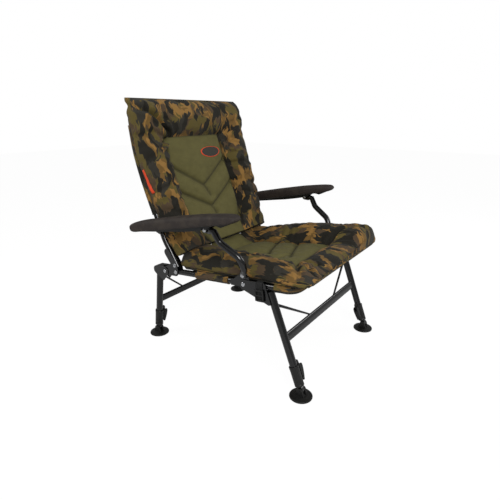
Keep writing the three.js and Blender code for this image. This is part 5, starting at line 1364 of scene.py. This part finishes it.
patch_cloth = Finish("badge_cloth", Base_Color=srgb(52, 50, 44), Roughness=0.85)
patch_cloth.bump(patch_cloth.place.noise(900, 2), 0.0002, 0.4)
tab_cloth = Finish("woven_tab", Base_Color=srgb(214, 66, 22), Roughness=0.7)
tab_cloth.vary(Roughness=tab_cloth.place.noise(200, 2) * 0.2 + 0.6)
tab_cloth.bump(tab_cloth.place.noise(1400, 2), 0.0002, 0.4)


back_surface = BVHTree.FromObject(back_cushion, bpy.context.evaluated_depsgraph_get())
patch_out = on_back(0, PATCH_Z, 1) - on_back(0, PATCH_Z, 0)


def on_panel(x, z, over):
    """A place on the filled panel, as far over its cloth as given."""
    hit = back_surface.ray_cast(on_back(x, z, 200) / 1000, -patch_out)[0]
    return (hit if hit else on_back(x, z, 55) / 1000) * 1000 + patch_out * over


# The rim, with its ridged edging, takes the last rings of the badge
PATCH_RINGS, PATCH_TURNS, RIM_RINGS, RIM_FROM = 14, 72, 3, 0.9
points = [on_panel(PATCH_X, PATCH_Z, PATCH_THICK + 0.4)]
for ring in range(1, PATCH_RINGS + 1):
    to_rim = (ring - PATCH_RINGS + RIM_RINGS) / RIM_RINGS
    share = ring / PATCH_RINGS if ring < PATCH_RINGS - RIM_RINGS else RIM_FROM + (1 - RIM_FROM) * to_rim
    rim = math.sin(math.pi * min((share - RIM_FROM) / (1 - RIM_FROM), 1)) if share > RIM_FROM else 0
    thick = (PATCH_THICK + 0.4) * (1 if ring < PATCH_RINGS else 0.2)
    for k in range(PATCH_TURNS):
        turn = 2 * math.pi * k / PATCH_TURNS
        ridge = 0.9 * rim * (0.8 + 0.2 * math.cos(turn * 60))
        x, z = PATCH_HALF_X * share * math.cos(turn), PATCH_HALF_Z * share * math.sin(turn)
        points.append(on_panel(PATCH_X + x, PATCH_Z + z, thick + ridge))
faces = [(0, 1 + k, 1 + (k + 1) % PATCH_TURNS) for k in range(PATCH_TURNS)]
faces += [(1 + a, 1 + d, 1 + c, 1 + b) for a, b, c, d in ring_faces(PATCH_RINGS, PATCH_TURNS)]
plain_faces = PATCH_TURNS * (PATCH_RINGS - RIM_RINGS)
badge = skin("plain_badge", points, faces, patch_cloth.material, tab_cloth.material)
badge.data.polygons.foreach_set("material_index", [int(i >= plain_faces) for i in range(len(faces))])

TAB_LOW, TAB_HIGH, TAB_HALF = Vector((-400, 271, 583)), Vector((-400, 309, 660)), 5
STEPS_UP, STEPS_OVER = 16, 6
side = (TAB_HIGH - TAB_LOW).normalized()
tab_across = Vector((0, -side.z, side.y))
points = []
for i in range(STEPS_UP + 1):
    middle = TAB_LOW.lerp(TAB_HIGH, i / STEPS_UP) + Vector((0, ROW_Y, 0))
    for k in range(STEPS_OVER + 1):
        at = middle + tab_across * TAB_HALF * (2 * k / STEPS_OVER - 1)
        hit = back_surface.ray_cast(at / 1000, Vector((1, 0, 0)))[0]
        x = hit.x * 1000 if hit else -286
        points.append(Vector((x - 1.6 - 0.8 * math.sin(math.pi * k / STEPS_OVER), at.y, at.z)))
row = STEPS_OVER + 1
faces = [
    (i * row + k, (i + 1) * row + k, (i + 1) * row + k + 1, i * row + k + 1)
    for i in range(STEPS_UP) for k in range(STEPS_OVER)
]
tab = skin("side_seam_tab", points, faces, tab_cloth.material)
thickened(tab, 0.0012)
for piece, node, slot in ((badge, "badge_patch", "patch_cloth"), (tab, "side_tab", "tab_cloth")):
    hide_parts(node)
    pressed_by_fold(piece, "back")

# ---------------------------------------------------------------- slings and sleeves
# The mattress rests on two slings of the printed cloth. Sewn sleeves carry them on the rails,
# and a hem closes each sleeve's ends.
SLEEVE_R, HEM = 13.2, 3.0
SEAT_SLEEVE, BACK_SLEEVE, FRONT_SLEEVE_FROM = (-50, 95), (505, 805), 67
SLING_END, BACK_SLING, BACK_SLING_LONG, SLING_THICK = 150, (415, 847), 500, 0.0012


def grid_faces(rows, across):
    return [
        (i * across + k, i * across + k + 1, (i + 1) * across + k + 1, (i + 1) * across + k)
        for i in range(rows - 1) for k in range(across - 1)
    ]


def sleeve(points, faces, coords, axis, span, u0):
    """A sewn tube of cloth round a rail, a little wrinkled, with a doubled hem at both ends."""
    low, high = span
    middle = np.linspace(low + HEM + 2, high - HEM - 2, max(3, int((high - low) / 7)))
    stations = [low, low, low + HEM, low + HEM, *middle, high - HEM, high - HEM, high, high]
    hem = [SLEEVE_R - 1, SLEEVE_R + 0.5, SLEEVE_R + 0.5, SLEEVE_R - 0.2]
    radii = hem + [SLEEVE_R] * len(middle) + hem[::-1]
    sides, start = 24, len(points)
    for place, radius in zip(stations, radii):
        for k, (c, s) in enumerate(circle(sides)):
            crumple = 0.55 * noise.noise(Vector((place / 14, 3 * c, 3 * s + u0 * 20)))
            points.append(axis(place, c * (radius + crumple), s * (radius + crumple)))
            coords.append((u0 + 2 * math.pi * k / sides * SLEEVE_R / 1000, place / 1000))
    faces += [(start + a, start + d, start + c, start + b) for a, b, c, d in ring_faces(len(stations), sides)]


def sling(name, node, body, across, rows, lay, sleeves):
    """One sling: the sheet with its hems, and its sleeves, as one sewn piece."""
    points = [lay(u, v) for v in rows for u in across]
    coords = [(u / 1000 + 0.7, v / 1000 + 0.3) for v in rows for u in across]
    faces = grid_faces(len(rows), len(across))
    for axis, span, u0 in sleeves:
        sleeve(points, faces, coords, axis, span, u0)
    piece = skin(name, points, faces, camo.material)
    lay_cloth(piece.data, lambda v: coords[v.index])
    thickened(piece, SLING_THICK)
    return stands_for(piece, "sling_cloth", body, node)


inner = FRAME_X - SLEEVE_R + 1
# The front sleeve runs round both corners of the tube
front_ends = [on_seat(x, RAIL_FRONT_Y + FRONT_SLEEVE_FROM, 0) for x in (-FRAME_X, FRAME_X)]
front_line = [front_ends[0], *rail_line[1:-1], front_ends[1]]
front_reach = np.concatenate([[0], np.cumsum([(b - a).length for a, b in zip(front_line, front_line[1:])])])
front_long = float(front_reach[-1])


def on_front(v, a, b):
    """A place beside the front tube's line, at a distance along it."""
    at, near, far = (
        [np.interp(place, front_reach, [p[k] for p in front_line]) for k in range(3)]
        for place in (v, max(v - 2, 0), min(v + 2, front_reach[-1]))
    )
    along = Vector([f - n for f, n in zip(far, near)]).normalized()
    return Vector(at) + along.cross(SEAT_UP).normalized() * a + SEAT_UP * b


seat_sleeves = [
    (lambda v, a, b, x=sign * FRAME_X: on_seat(x + a, v, b), SEAT_SLEEVE, 0.1 + 0.3 * sign) for sign in (-1, 1)
]
seat_sling = sling(
    "seat_sling_cloth", "seat_sling", "seat",
    np.linspace(-inner, inner, 41), np.linspace(RAIL_FRONT_Y + SLEEVE_R - 1, SLING_END, 38),
    lambda x, along: on_seat(x, along, sling_z(x, along)), [*seat_sleeves, (on_front, (0, front_long), 1.1)],
)
back_sleeves = [
    (lambda v, a, b, x=sign * FRAME_X: on_back(x + a, v, b), BACK_SLEEVE, 0.2 + 0.3 * sign) for sign in (-1, 1)
]
back_sling = sling(
    "back_sling_cloth", "back_sling", "back",
    np.linspace(-inner, inner, 41), np.linspace(*BACK_SLING, 40), lambda x, z: on_back(x, z, 0), back_sleeves,
)
wrap = 2 * math.pi * SLEEVE_R
for cloth_piece, length, sleeve_length in (
    (seat_sling, SLING_END - RAIL_FRONT_Y - SLEEVE_R, 2 * (SEAT_SLEEVE[1] - SEAT_SLEEVE[0]) + front_long),
    (back_sling, BACK_SLING_LONG, 2 * (BACK_SLEEVE[1] - BACK_SLEEVE[0])),
):
    # The cut has a flap for each sleeve beside the sheet, with notches between the flaps
    (length + wrap) / 1000
    (2 * inner * length + wrap * sleeve_length) / 1e6

# ---------------------------------------------------------------- straps and ladder buckles
# A webbing strap on each side pulls the mattress down to the rail. Its tail runs through
# a moulded ladder-lock buckle.
STRAP_AT, STRAP_WIDE, STRAP_THICK, STRAP_LONG, STRAP_ACROSS = -183, 25, 0.0012, 0.1, 6
# Out from the chair's middle and up from the rail: over the mattress's edge, the rail and down its tail
STRAP_RUN = [(245, 16.5), (262, 16.5), (272, 16.3), (276.5, 14.2), (278, 9), (278, 0), (278, -48)]

webbing = Finish("woven_webbing", Base_Color=srgb(22, 22, 21), Roughness=0.8)
ribbing = {"Vector": webbing.place, "Scale": 260.0, "Distortion": 0.4}
ribs = webbing.place.node("ShaderNodeTexWave", ribbing, 1, bands_direction="Y")
webbing.vary(Roughness=webbing.place.noise(300, 2) * 0.2 + 0.7)
webbing.bump(ribs, 0.0004, 0.6)

for side, sign in SIDES:
    line = smooth_line(STRAP_RUN, 5)
    points = [
        on_seat(sign * x, STRAP_AT + STRAP_WIDE * (k / (STRAP_ACROSS - 1) - 0.5), up)
        for x, up in line for k in range(STRAP_ACROSS)
    ]
    strap = skin(f"pad_webbing_{side}", points, grid_faces(len(line), STRAP_ACROSS), webbing.material)
    thickened(strap, STRAP_THICK)
    stands_for(strap, "webbing", "seat", f"pad_strap_{side}")
    finished(f"strap_buckle_{side}", plastic, "dark_plastic", 0.6)
